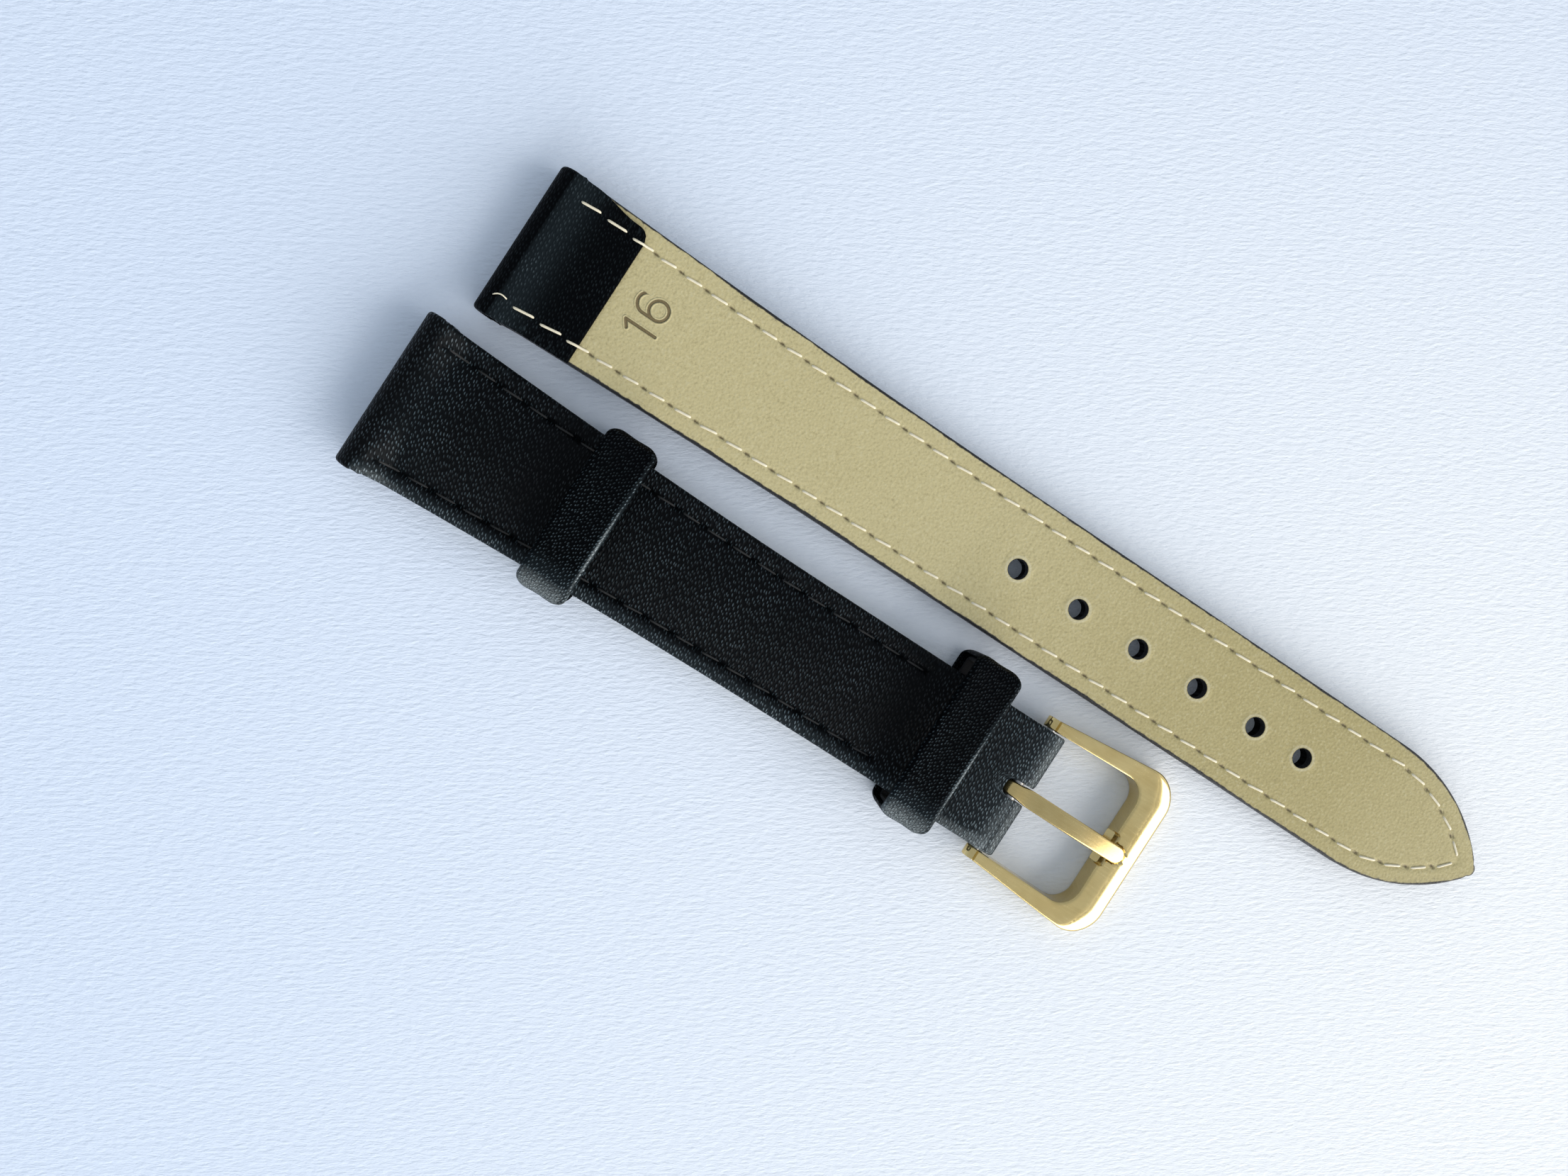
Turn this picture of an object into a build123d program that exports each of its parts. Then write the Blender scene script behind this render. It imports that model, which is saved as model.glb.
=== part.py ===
from build123d import *
from math import acos, atan2, cos, degrees, pi, sin, sqrt
import os

os.makedirs("parts", exist_ok=True)

# Two-piece leather watch strap with a tang buckle, in millimetres.
# X runs from the short half's lug end to its buckle, Y towards the long half, Z up from the
# surface that both halves lie on. The short half lies grain side up and the long half beside it,
# lining side up. Each half is drawn grain side up, from its own lug end, and then laid in place.

# Leathers, shared by both halves
leather = 1.05
lining = 0.9
flap_thickness = 0.4
flap_length = 10.3
flap_inset = 0.65
flap_round = 1.1
pad_lug = 1.55
crown_rise = 0.12
edge_bevel = 0.25

# Lug end: the grain leather wraps a tunnel for the watch's spring bar
tunnel_radius = 0.9
nub_end = 2.7
pinch_end = 4.8
nub_step = 0.12
nose_lift_share = 0.96
lining_gap = 0.1

# Flare from the tail's width to the lug width
flare_run = 46.0
flare_power = 1.8
flare_station_shares = (0.17, 0.26, 0.37, 0.5, 0.63, 0.8, 1.0)
filler_station_shares = (0.3, 0.6)
pad_chord_shares = (0.65, 0.25, -0.25, -0.65)

# Stitched seams
seam_inset = 1.85
seam_margin = 2.3
seam_width = 0.5
seam_depth = 0.25
seam_start = 3.1
stitch_pitch = 2.85
stitch_length = 2.15

# Short half
short_lug_width = 16.2
short_tail_width = 13.65
short_pad_stop = 58.0
return_ply = 0.5
tab_start = 61.0
tab_crown_share = 0.3
bar_x = 71.9
fold_leather = 0.95

# Long half, and where it lies beside the short one
long_lug_width = 15.5
long_tail_width = 14.0
long_pad_stop = 52.0
skived_edge = 0.08
long_start = 2.8
lay_gap = 1.1
tip_start = 101.4
tip_length = 14.2
tip_round = 0.8

# Adjusting holes, from the lug end: even steps, then one short step to the last
hole_count = 6
hole_radius = 1.02
hole_sides = 24
first_hole = 57.3
hole_pitch = 7.36
last_hole_pitch = 6.0

# Keepers: a leather strip wrapped over a core strip, closed to a loop
keeper_length = 5.2
keeper_wall = 1.1
keeper_slack = 0.1
keeper_core = 0.45
keeper_core_length = 3.8
keeper_tail_room = 0.1
keeper_outer_round = 1.3
keeper_corner_flats = 3
keeper_edge_bevel = 0.32
free_keeper_x = 22.4
free_keeper_width = 17.0
fixed_keeper_x = 62.9
fixed_keeper_width = 18.1
fixed_keeper_shift = 0.45

# Spring bar of the buckle
bar_radius = 0.75
bar_gap = 0.05
barrel_wall = 0.25
collar_length = 0.5
collar_radius = 0.72
collar_gap = 0.1
pivot_radius = 0.45
pivot_length = 0.85
shaft_radius = 0.42
shaft_length = 3.2
tip_travel = 0.9
barrel_spare = 0.1
spring_wire = 0.15
spring_radius = 0.35
spring_turns = 6
spring_steps = 8
spring_end_gap = 0.03

# Buckle frame
frame_inside = 14.0
frame_arm = 1.15
frame_width = 18.56
frame_inner_run = 11.3
frame_outer_run = 14.9
frame_corner_round = 3.3
frame_inner_round = 2.2
frame_crown_bevel = 0.45
front_flat = 1.6
front_drop = 1.1
frame_bow = 0.35
frame_top = 3.15
frame_front_top = 2.65
ear_radius = 0.92
ear_hole_depth = 0.95
ear_hole_radius = 0.5
arm_start = 0.15
arm_foot = 1.1
front_foot = 0.15
front_foot_step = 0.3
ledge_width = 3.6
ledge_out = 0.35
ledge_low = 0.45
ledge_high = 1.15
notch_depth = 0.4
notch_top = 1.95
seat_width = 2.2
seat_depth = 0.3
seat_run = 13.3

# Buckle tongue, from the bar's axis
tongue_gap = 0.05
tongue_eye_radius = 1.4
tongue_eye_width = 1.5
tongue_width = 1.9
tongue_tip_width = 1.75
tongue_thickness = 0.72
tongue_tip_thickness = 0.6
tongue_root = 0.1
tongue_root_rise = 0.25
tongue_middle = 6.4
tongue_middle_rise = 1.42
tongue_tip = 13.0
tongue_seat_gap = 0.06

# Slot for the tongue in the folded end
slot_half_width = 0.95
slot_centre = 0.65
slot_gap = 0.1

overrun = 1.0

# Worked out from the sizes above
nose_radius = (leather + pad_lug + lining + flap_thickness) / 2
nose_z = leather + pad_lug - nose_radius
tab_top = leather + return_ply
fold_radius = bar_radius + bar_gap + fold_leather
fold_bar_z = tab_top - fold_radius
short_lift = keeper_wall + keeper_slack + lining
bar_z = short_lift + fold_bar_z
crown_top = leather + pad_lug + crown_rise
tail_thickness = leather + lining + crown_rise
keeper_inner_top = short_lift + tab_top + tail_thickness + keeper_tail_room
tail_radius = (tip_length ** 2 + (long_tail_width / 2) ** 2) / long_tail_width
tip_point = tip_start + tip_length
tip_side = tail_radius - long_tail_width / 2
long_length = tip_start + sqrt((tail_radius - tip_round) ** 2 - tip_side ** 2) + tip_round
lining_start = 2 * nose_radius + lining_gap
barrel_half = frame_inside / 2 - collar_gap - collar_length - tip_travel - barrel_spare
strap_centre_x = (long_start + long_length) / 2
near_side = max(frame_width / 2, fixed_keeper_width / 2 + fixed_keeper_shift)
long_side = near_side + lay_gap + (long_lug_width + nub_step) / 2
far_side = long_side + (long_lug_width + nub_step) / 2
strap_centre_y = (far_side - frame_width / 2) / 2


class Half:
    """One half of the strap, drawn grain side up from its lug end at X = 0."""

    def __init__(self, lug_width, tail_width, pad_tail, pad_stop, level_share, tab, flap_side):
        self.lug_width = lug_width
        self.tail_width = tail_width
        self.pad_tail = pad_tail
        self.pad_stop = pad_stop
        self.level_share = level_share
        self.tab = tab
        self.flap_side = flap_side

    def half_width(self, x):
        """Half the strap's width: the tail's, flaring towards the lug end."""
        flare = max(0, 1 - x / flare_run) ** flare_power
        return (self.tail_width + (self.lug_width - self.tail_width) * flare) / 2

    def pad(self, x):
        """Padding between the leathers on the centreline, thinning towards the tail."""
        share = min(max((x - pinch_end) / (self.pad_stop - pinch_end), 0), 1)
        return pad_lug + (self.pad_tail - pad_lug) * share

    def glue(self, x):
        """Height where grain leather and lining meet; level_share 1 keeps the crown level instead."""
        return self.level_share * (pad_lug - self.pad(x))

    def lift_share(self, x):
        """How far the margins are raised to the crown: at the tunnel, and at the folded end."""
        if x < pinch_end:
            return nose_lift_share * (pinch_end - max(x, nub_end)) / (pinch_end - nub_end)
        if self.tab and x > self.pad_stop:
            return min((x - self.pad_stop) / (tab_start - self.pad_stop), 1)
        return 0

    def crown(self, x):
        """Rise of the crown above the padding."""
        if x <= nose_radius:
            return 0
        if self.tab and x > self.pad_stop:
            return crown_rise * tab_crown_share
        return crown_rise

    def stations(self, start, stop):
        """Places along the half where its cross-section is drawn."""
        knots = [nub_end, pinch_end, self.pad_stop] + [flare_run * s for s in flare_station_shares]
        if self.tab:
            knots.append(tab_start)
        return [start] + sorted(k for k in knots if start < k < stop) + [stop]

    def skin_section(self, x):
        """Outline of grain leather and padding together, across the strap."""
        w = self.half_width(x)
        low = self.glue(x)
        foot = low + leather + self.lift_share(x) * self.pad(x)
        top = low + leather + self.pad(x) + self.crown(x)
        inner = w - seam_margin
        edges = [
            Line((-w, low), (w, low)),
            Line((w, low), (w, foot - edge_bevel)),
            Line((w, foot - edge_bevel), (w - edge_bevel, foot)),
            Line((w - edge_bevel, foot), (inner, foot)),
            ThreePointArc((inner, foot), (0, top), (-inner, foot)),
            Line((-inner, foot), (edge_bevel - w, foot)),
            Line((edge_bevel - w, foot), (-w, foot - edge_bevel)),
            Line((-w, foot - edge_bevel), (-w, low)),
        ]
        return across(edges, x)

    def pad_section(self, x):
        """Outline of the padding: a pad between the seam margins, crowned in flats."""
        inner = self.half_width(x) - seam_margin
        low = self.glue(x)
        crown = [(inner * s, low + self.pad(x) * (1 - s ** 2)) for s in pad_chord_shares]
        points = [(-inner, low), (inner, low)] + crown
        return across([Line(a, b) for a, b in zip(points, points[1:] + points[:1])], x)

    def lining_section(self, x):
        """Outline of the lining across the strap."""
        w = self.half_width(x)
        return across(rectangle(-w, w, self.glue(x) - lining, self.glue(x)), x)

    def skin(self, stop):
        """Grain leather and padding together, from the tunnel to stop."""
        return loft_through([self.skin_section(x) for x in self.stations(nose_radius, stop)])

    def filler(self):
        """The padding."""
        places = [flare_run * share for share in filler_station_shares]
        places = [pinch_end] + [x for x in places if pinch_end < x < self.pad_stop] + [self.pad_stop]
        return loft_through([self.pad_section(x) for x in places])

    def lining_sheet(self, stop):
        """The lining leather."""
        places = self.stations(lining_start, stop)
        return loft_through([self.lining_section(x) for x in places])

    def nose(self):
        """Grain leather round the tunnel: the rounded end, the wrap behind it and the flap."""
        width = self.lug_width + nub_step
        along = Location((nose_radius, 0, nose_z), (90, 0, 0))
        end = along * Cylinder(nose_radius, width)
        low = -lining - flap_thickness
        wrap_width = 2 * self.half_width(lining_start)
        wrap = box_from((nose_radius, lining_start), (-wrap_width / 2, wrap_width / 2), (low, leather))
        side = self.half_width(flap_length)
        cut_back = self.flap_side * (side - flap_inset)
        flap = box_from((nose_radius, flap_length), sorted((-self.flap_side * side, cut_back)), (low, -lining))
        corners = flap.edges().filter_by(Axis.Z).sort_by(Axis.X)[-2:].sort_by(Axis.Y)
        flap = fillet(corners[-1] if self.flap_side > 0 else corners[0], flap_round)
        return end + wrap + flap

    def tunnel(self):
        """Bore through the lug end."""
        along = Location((nose_radius, 0, nose_z), (90, 0, 0))
        return along * Cylinder(tunnel_radius, self.lug_width + 2 * overrun)

    def grain_level(self, x):
        """Surface of the stitched margin on the grain side."""
        return self.glue(x) + leather

    def flap_level(self, x):
        """Surface of the turned-over flap on the lining side."""
        return self.glue(x) - lining - flap_thickness

    def lining_level(self, x):
        """Surface of the lining."""
        return self.glue(x) - lining

    def seam_bar(self, side, start, stop, level, low, high):
        """Bar along one seam, from low to high about a surface: a groove, or its filling."""
        sections = []
        for x in self.stations(start, stop):
            y = side * (self.half_width(x) - seam_inset)
            z = level(x)
            half = seam_width / 2
            sections.append(across(rectangle(y - half, y + half, z + low, z + high), x))
        return loft_through(sections)

    def side_seam(self, side, stop, outwards, levels):
        """Groove and filling bars along one side, for each surface that the seam crosses."""
        grooves = []
        fillings = []
        low, high = (-seam_depth, 0) if outwards > 0 else (0, seam_depth)
        cut_low = low if outwards > 0 else low - overrun
        cut_high = high + overrun if outwards > 0 else high
        for start, end, level in levels:
            last = min(end, stop)
            grooves.append(self.seam_bar(side, start, last, level, cut_low, cut_high))
            fillings.append(self.seam_bar(side, start, last, level, low, high))
        return grooves, fillings


def across(edges, x):
    """A closed outline drawn in Y and Z, stood up across the strap at X."""
    return Plane.YZ.offset(x) * make_face(Curve() + edges)


def rectangle(y_low, y_high, z_low, z_high):
    """Edges of a rectangle."""
    corners = [(y_low, z_low), (y_high, z_low), (y_high, z_high), (y_low, z_high)]
    return [Line(a, b) for a, b in zip(corners, corners[1:] + corners[:1])]


def loft_through(sections):
    """Solid through cross-sections, straight from one to the next."""
    return Part() + Solid.make_loft([s.faces()[0].outer_wire() for s in sections], ruled=True)


def box_from(x, y, z):
    """Box between two values on each axis."""
    size = (x[1] - x[0], y[1] - y[0], z[1] - z[0])
    centre = ((x[0] + x[1]) / 2, (y[0] + y[1]) / 2, (z[0] + z[1]) / 2)
    return Location(centre) * Box(*size)


def prism(points, low, high):
    """Prism on a plan polygon."""
    face = make_face(Polyline(points, close=True))
    return Location((0, 0, low)) * extrude(face, high - low)


def tip_turn(inset):
    """Radius of the tip's outline moved in by inset, and the angle that it turns to the point."""
    radius = tail_radius - inset
    return radius, acos(tip_side / radius)


def tip_outline(inset):
    """Half of the pointed tip's plan, from its start to the point, moved in by inset."""
    radius, end = tip_turn(inset)
    mid = end / 2
    return [
        (tip_start, radius - tip_side),
        (tip_start + radius * sin(mid), radius * cos(mid) - tip_side),
        (tip_start + radius * sin(end), 0),
    ]


def tip_face(inset, back):
    """Plan of the pointed tip and of a stretch behind it, moved in by inset."""
    first, mid, point = tip_outline(inset)
    mirrored = [(x, -y) for x, y in (first, mid)]
    edges = [
        Line((first[0] - back, first[1]), first),
        ThreePointArc(first, mid, point),
        ThreePointArc(point, mirrored[1], mirrored[0]),
        Line(mirrored[0], (first[0] - back, -first[1])),
        Line((first[0] - back, -first[1]), (first[0] - back, first[1])),
    ]
    return make_face(Curve() + edges)


def tip_seam(low, high):
    """Bar that follows the seam round the tip, between two heights."""
    outer = tip_face(seam_inset - seam_width / 2, overrun)
    inner = tip_face(seam_inset + seam_width / 2, 2 * overrun)
    ring = outer - inner
    keep = Location((tip_start + tip_length, 0)) * Rectangle(2 * tip_length, 2 * long_tail_width)
    return Location((0, 0, low)) * extrude(ring & keep, high - low)


def stitches(half, side, stop, round_tip):
    """Prisms that cut one side's seam filling into stitches, one for each needle step."""
    straight = stop - seam_start
    radius, turn = tip_turn(seam_inset)
    whole = straight + (radius * turn if round_tip else 0)
    count = round(whole / stitch_pitch)
    step = whole / count
    prisms = []
    for i in range(count):
        s = (i + 0.5) * step
        if s <= straight:
            x = seam_start + s
            y = half.half_width(x) - seam_inset
            ahead = half.half_width(x + step / 2) - half.half_width(x - step / 2)
            angle = degrees(atan2(ahead, step))
        else:
            phi = (s - straight) / radius
            x = stop + radius * sin(phi)
            y = radius * cos(phi) - tip_side
            angle = -degrees(phi)
        place = Location((x, side * y, 0), (0, 0, side * angle))
        tall = 4 * (leather + lining + pad_lug)
        prisms.append(place * Box(stitch_length * step / stitch_pitch, 2 * seam_width, tall))
    return prisms


def cut_stitches(fillings, prisms):
    """The stitches: what each prism shares with the seam's filling."""
    pieces = []
    for prism_box in prisms:
        for bar in fillings:
            piece = bar & prism_box
            if piece is not None:
                pieces += [s for s in piece.solids() if s.volume > seam_depth ** 3]
    return pieces


def holes():
    """Places of the adjusting holes, from the long half's lug end."""
    even = [first_hole + i * hole_pitch for i in range(hole_count - 1)]
    return even + [even[-1] + last_hole_pitch]


def fold_profile():
    """Side view of the grain leather folded round the buckle's bar, with no bore."""
    diagonal = sqrt(0.5)
    tangent = (bar_x - fold_radius * diagonal, fold_bar_z - fold_radius * diagonal)
    root = tangent[0] + tangent[1]
    points = [(root, 0), (root, tab_top), (bar_x, tab_top), (bar_x, fold_bar_z), tangent]
    body = Plane.XZ * make_face(Polyline(points, close=True))
    ring = Plane.XZ * (Location((bar_x, fold_bar_z)) * Circle(fold_radius))
    return body, ring, root


def tongue_slot():
    """What is cut from the folded end for the tongue: a round-ended slot and room for the eye."""
    tall = 4 * fold_radius
    back = bar_x - slot_centre
    end = Location((back, 0, fold_bar_z)) * Cylinder(slot_half_width, tall)
    reach = (back, bar_x + fold_radius + overrun)
    way = box_from(reach, (-slot_half_width, slot_half_width), (fold_bar_z - tall / 2, fold_bar_z + tall / 2))
    along = Location((bar_x, 0, fold_bar_z), (90, 0, 0))
    eye = along * Cylinder(tongue_eye_radius + slot_gap, 2 * slot_half_width)
    return end + way + eye


def y_cylinder(radius, y_low, y_high):
    """Round bar along the buckle bar's axis, between two values of Y."""
    place = Location((bar_x, (y_low + y_high) / 2, bar_z), (90, 0, 0))
    return place * Cylinder(radius, y_high - y_low)


def short_half():
    """Leathers, padding and threads of the buckle half, laid grain side up on its keepers."""
    half = Half(short_lug_width, short_tail_width, return_ply, short_pad_stop, 0, True, 1)
    body, ring, root = fold_profile()
    width = short_tail_width
    fold = extrude(body, width / 2, both=True) + extrude(ring, width / 2, both=True)
    along = Location((bar_x, 0, fold_bar_z), (90, 0, 0))
    bore = along * Cylinder(bar_radius + bar_gap, width + 2 * overrun)
    filler = half.filler()
    sheet = half.lining_sheet(root - lining_gap)
    grain = half.skin(root) + half.nose() + fold
    grain = grain - filler - half.tunnel() - bore - tongue_slot()
    threads = {}
    for name, side in (("upper", 1), ("lower", -1)):
        stop = short_pad_stop
        prisms = stitches(half, side, stop, False)
        top_levels = [(seam_start, stop, half.grain_level)]
        cuts, fills = half.side_seam(side, stop, 1, top_levels)
        cut_at = [c for c in cuts]
        for cut in cut_at:
            grain = grain - cut
        threads["short_%s_seam_top_thread" % name] = cut_stitches(fills, prisms)
        under = [(seam_start, flap_length, half.flap_level), (flap_length, stop, half.lining_level)]
        cuts, fills = half.side_seam(side, stop, -1, under)
        grain = grain - cuts[0]
        sheet = sheet - cuts[1]
        threads["short_%s_seam_lining_thread" % name] = cut_stitches(fills, prisms)
    lay = Location((0, 0, short_lift))
    save("short_top_leather", lay * grain)
    save("short_filler", lay * filler)
    save("short_lining", lay * sheet)
    for name, pieces in threads.items():
        save(name, *[lay * p for p in pieces])


def long_half():
    """Leathers, padding and threads of the hole half, laid grain side down."""
    half = Half(long_lug_width, long_tail_width, skived_edge, long_pad_stop, 1, False, -1)
    outline = tip_face(0, tip_start)
    start = tip_start
    point = outline.vertices().sort_by(Axis.X)[-1]
    outline = fillet(point, tip_round)
    tall = 4 * (leather + lining + pad_lug)
    inside = Location((0, 0, -tall / 2)) * extrude(outline, tall)
    wide = box_from((-overrun, start), (-long_lug_width, long_lug_width), (-tall / 2, tall / 2))
    inside = inside + wide
    filler = half.filler()
    grain = (half.skin(tip_point) & inside) + half.nose()
    grain = grain - filler - half.tunnel()
    sheet = half.lining_sheet(tip_point) & inside
    top_fills = []
    under_fills = []
    prisms = []
    for side in (1, -1):
        prisms += stitches(half, side, start, True)
        cuts, fills = half.side_seam(side, start, 1, [(seam_start, start, half.grain_level)])
        grain = grain - cuts[0]
        top_fills += fills
        under = [(seam_start, flap_length, half.flap_level), (flap_length, start, half.lining_level)]
        cuts, fills = half.side_seam(side, start, -1, under)
        grain = grain - cuts[0]
        sheet = sheet - cuts[1]
        under_fills += fills
    top = half.grain_level(start)
    low = half.lining_level(start)
    grain = grain - tip_seam(top - seam_depth, top + overrun)
    sheet = sheet - tip_seam(low - overrun, low + seam_depth)
    top_fills.append(tip_seam(top - seam_depth, top))
    under_fills.append(tip_seam(low, low + seam_depth))
    for x in holes():
        punch = Location((x, 0, 0)) * extrude(RegularPolygon(hole_radius, hole_sides), tall, both=True)
        grain = grain - punch
        sheet = sheet - punch
    lay = Location((long_start, long_side, crown_top), (180, 0, 0))
    save("long_top_leather", lay * grain)
    save("long_filler", lay * filler)
    save("long_lining", lay * sheet)
    save("long_seam_top_thread", *[lay * p for p in cut_stitches(top_fills, prisms)])
    save("long_seam_lining_thread", *[lay * p for p in cut_stitches(under_fills, prisms)])


def eased_rectangle(width, height, radius):
    """Rectangle with corners eased in a few flats."""
    points = []
    for quarter, (across_sign, up_sign) in enumerate(((1, 1), (-1, 1), (-1, -1), (1, -1))):
        for step in range(keeper_corner_flats + 1):
            angle = (quarter + step / keeper_corner_flats) * pi / 2
            centre = (across_sign * (width / 2 - radius), up_sign * (height / 2 - radius))
            points.append((centre[0] + radius * cos(angle), centre[1] + radius * sin(angle)))
    return make_face(Polyline(points, close=True))


def keeper(name, x, y, width, floor):
    """A loop of leather strip with rounded edges, and the core strip inside it."""
    height = keeper_inner_top + keeper_wall
    inner_width = width - 2 * keeper_wall
    inner_height = keeper_inner_top - floor
    middle = floor + inner_height / 2
    outline = Location((0, height / 2)) * eased_rectangle(width, height, keeper_outer_round)
    hollow = Location((0, middle)) * Rectangle(inner_width, inner_height)
    deep = Location((0, middle)) * Rectangle(inner_width + 2 * keeper_core, inner_height + 2 * keeper_core)
    place = Plane.YZ.offset(x)
    solid = extrude(place * outline, keeper_length / 2, both=True)
    ends = [f for f in solid.faces().sort_by(Axis.X)[:1] + solid.faces().sort_by(Axis.X)[-1:]]
    solid = chamfer([e for f in ends for e in f.edges()], keeper_edge_bevel)
    core = extrude(place * (deep - hollow), keeper_core_length / 2, both=True)
    cover = solid - extrude(place * hollow, keeper_length, both=True) - core
    shift = Location((0, y, 0))
    save(name + "_cover", shift * cover)
    save(name + "_core", shift * core)


def frame_corner():
    """Half width where the arms' sides would meet the front, so that the rounded frame is as wide as named."""
    ear = frame_inside / 2 + frame_arm
    run = frame_outer_run - frame_corner_round
    gain = frame_width / 2 - ear
    slope = (run - sqrt(run ** 2 - 2 * frame_corner_round * gain)) / frame_corner_round
    return ear + frame_outer_run * slope


def frame_plan():
    """Plan of the buckle frame: two arms that widen to a rounded front bar."""
    ear = frame_inside / 2 + frame_arm
    front = frame_corner()
    back = -ear_radius - overrun
    outer = [
        (back, -ear), (0, -ear), (frame_outer_run, -front),
        (frame_outer_run, front), (0, ear), (back, ear),
    ]
    face = make_face(Polyline(outer, close=True))
    face = fillet(face.vertices().group_by(Axis.X)[-1], frame_corner_round)
    inside = frame_inside / 2
    bow = inside + frame_bow
    inner = [
        (back - overrun, -inside), (0, -inside), (frame_inner_run, -bow),
        (frame_inner_run, bow), (0, inside), (back - overrun, inside),
    ]
    window = make_face(Polyline(inner, close=True))
    window = fillet(window.vertices().group_by(Axis.X)[-1], frame_inner_round)
    return face - window


def buckle_frame():
    """Frame: a plate with bevelled outer edges, tilted and sloped down to the front, on two ears."""
    tall = 2 * frame_top
    plate = Location((0, 0, -tall)) * extrude(frame_plan(), tall)
    top = plate.faces().sort_by(Axis.Z)[-1]
    outside = [
        e for e in top.edges()
        if e.center().X > 0
        and (e.center().X > frame_inner_run or abs(e.center().Y) > frame_inside / 2 + frame_arm / 2)
        and abs(e.center().Y) + (frame_outer_run - e.center().X) >= 0
        and is_outer(e)
    ]
    plate = chamfer(outside, frame_crown_bevel)
    tilt = degrees(atan2(frame_top - frame_front_top, frame_outer_run))
    plate = Location((bar_x, 0, frame_top), (0, tilt, 0)) * plate
    run_in = bar_x + frame_inner_run
    front_share = 1 - (frame_inner_run + front_flat) / frame_outer_run
    side = [
        (bar_x + arm_start, 2 * frame_top),
        (bar_x + arm_start, arm_foot),
        (run_in, front_foot),
        (run_in + front_foot_step, 0),
        (bar_x + frame_outer_run, 0),
        (bar_x + frame_outer_run, frame_front_top - front_drop),
        (run_in + front_flat, frame_front_top + (frame_top - frame_front_top) * front_share),
        (run_in + front_flat, 2 * frame_top),
    ]
    view = Plane.XZ * make_face(Polyline(side, close=True))
    body = plate & extrude(view, frame_width, both=True)
    inner = frame_inside / 2
    for sign in (1, -1):
        low, high = sorted((sign * inner, sign * (inner + frame_arm)))
        ear = y_cylinder(ear_radius, low, high)
        neck = box_from((bar_x, bar_x + 2 * ear_radius), (low, high), (bar_z - ear_radius, bar_z + ear_radius))
        body = body + ear + neck
    for sign in (1, -1):
        low, high = sorted((sign * (inner - overrun), sign * (inner + ear_hole_depth)))
        body = body - y_cylinder(ear_hole_radius, low, high)
    ledge = box_from(
        (run_in - ledge_out, run_in + overrun), (-ledge_width / 2, ledge_width / 2), (ledge_low, ledge_high)
    )
    notch = box_from(
        (run_in - overrun, run_in + notch_depth), (-ledge_width / 2, ledge_width / 2), (ledge_high, notch_top)
    )
    seat_floor = seat_height()
    seat = box_from(
        (run_in - overrun, bar_x + seat_run - seat_width / 2),
        (-seat_width / 2, seat_width / 2),
        (seat_floor, seat_floor + frame_top),
    )
    seat_end = Location((bar_x + seat_run - seat_width / 2, 0, seat_floor + frame_top / 2))
    seat = seat + seat_end * Cylinder(seat_width / 2, frame_top)
    return body + ledge - notch - seat


def is_outer(edge):
    """True for an edge of the plan's outside, not of its window."""
    x, y = edge.center().X, abs(edge.center().Y)
    if x > (frame_inner_run + frame_outer_run) / 2:
        return True
    share = x / frame_outer_run
    arm_middle = frame_inside / 2 + frame_arm / 2 + share * frame_bow
    return y > arm_middle + share * frame_arm / 2


def seat_height():
    """Height of the tongue's seat in the front bar."""
    share = frame_inner_run / frame_outer_run
    return frame_top + (frame_front_top - frame_top) * share - seat_depth


def buckle_tongue():
    """Tongue: a bowed strip with a round tip, and an eye round the bar."""
    root_low = bar_z + tongue_root_rise
    middle_low = bar_z + tongue_middle_rise
    tip_low = seat_height() + tongue_seat_gap
    x_root = bar_x + tongue_root
    x_middle = bar_x + tongue_middle
    x_tip = bar_x + tongue_tip
    middle_high = middle_low + tongue_thickness
    edges = [
        ThreePointArc((x_root, root_low), (x_middle, middle_low), (x_tip, tip_low)),
        Line((x_tip, tip_low), (x_tip, tip_low + tongue_tip_thickness)),
        ThreePointArc(
            (x_tip, tip_low + tongue_tip_thickness),
            (x_middle, middle_high),
            (x_root, root_low + tongue_thickness),
        ),
        Line((x_root, root_low + tongue_thickness), (x_root, root_low)),
    ]
    view = Plane.XZ * make_face(Curve() + edges)
    strip = extrude(view, tongue_width, both=True)
    narrow = tongue_eye_width / 2
    wide = tongue_width / 2
    end = tongue_tip_width / 2
    plan = [
        (x_root, -narrow), (x_middle, -wide), (x_tip - end, -end),
        (x_tip - end, end), (x_middle, wide), (x_root, narrow),
    ]
    shape = prism(plan, 0, 2 * frame_top)
    shape = shape + Location((x_tip - end, 0, frame_top)) * Cylinder(end, 2 * frame_top)
    strip = strip & shape
    eye = y_cylinder(tongue_eye_radius, -narrow, narrow)
    bore = y_cylinder(bar_radius + tongue_gap, -tongue_width, tongue_width)
    return strip + eye - bore


def spring_bar():
    """Barrel, two sprung tips and the coil between them."""
    barrel = y_cylinder(bar_radius, -barrel_half, barrel_half)
    barrel = barrel - y_cylinder(bar_radius - barrel_wall, -barrel_half - overrun, barrel_half + overrun)
    save("bar_barrel", barrel)
    collar_end = frame_inside / 2 - collar_gap
    collar_start = collar_end - collar_length
    inner_end = collar_start - shaft_length
    for name, sign in (("bar_tip_upper", 1), ("bar_tip_lower", -1)):
        spans = [
            (pivot_radius, collar_end, frame_inside / 2 + pivot_length),
            (collar_radius, collar_start, collar_end),
            (shaft_radius, inner_end, collar_start),
        ]
        tip = Part()
        for radius, near, far in spans:
            low, high = sorted((sign * near, sign * far))
            tip = tip + y_cylinder(radius, low, high)
        save(name, tip)
    save("bar_spring", coil(2 * (inner_end - spring_end_gap) - spring_wire))


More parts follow.
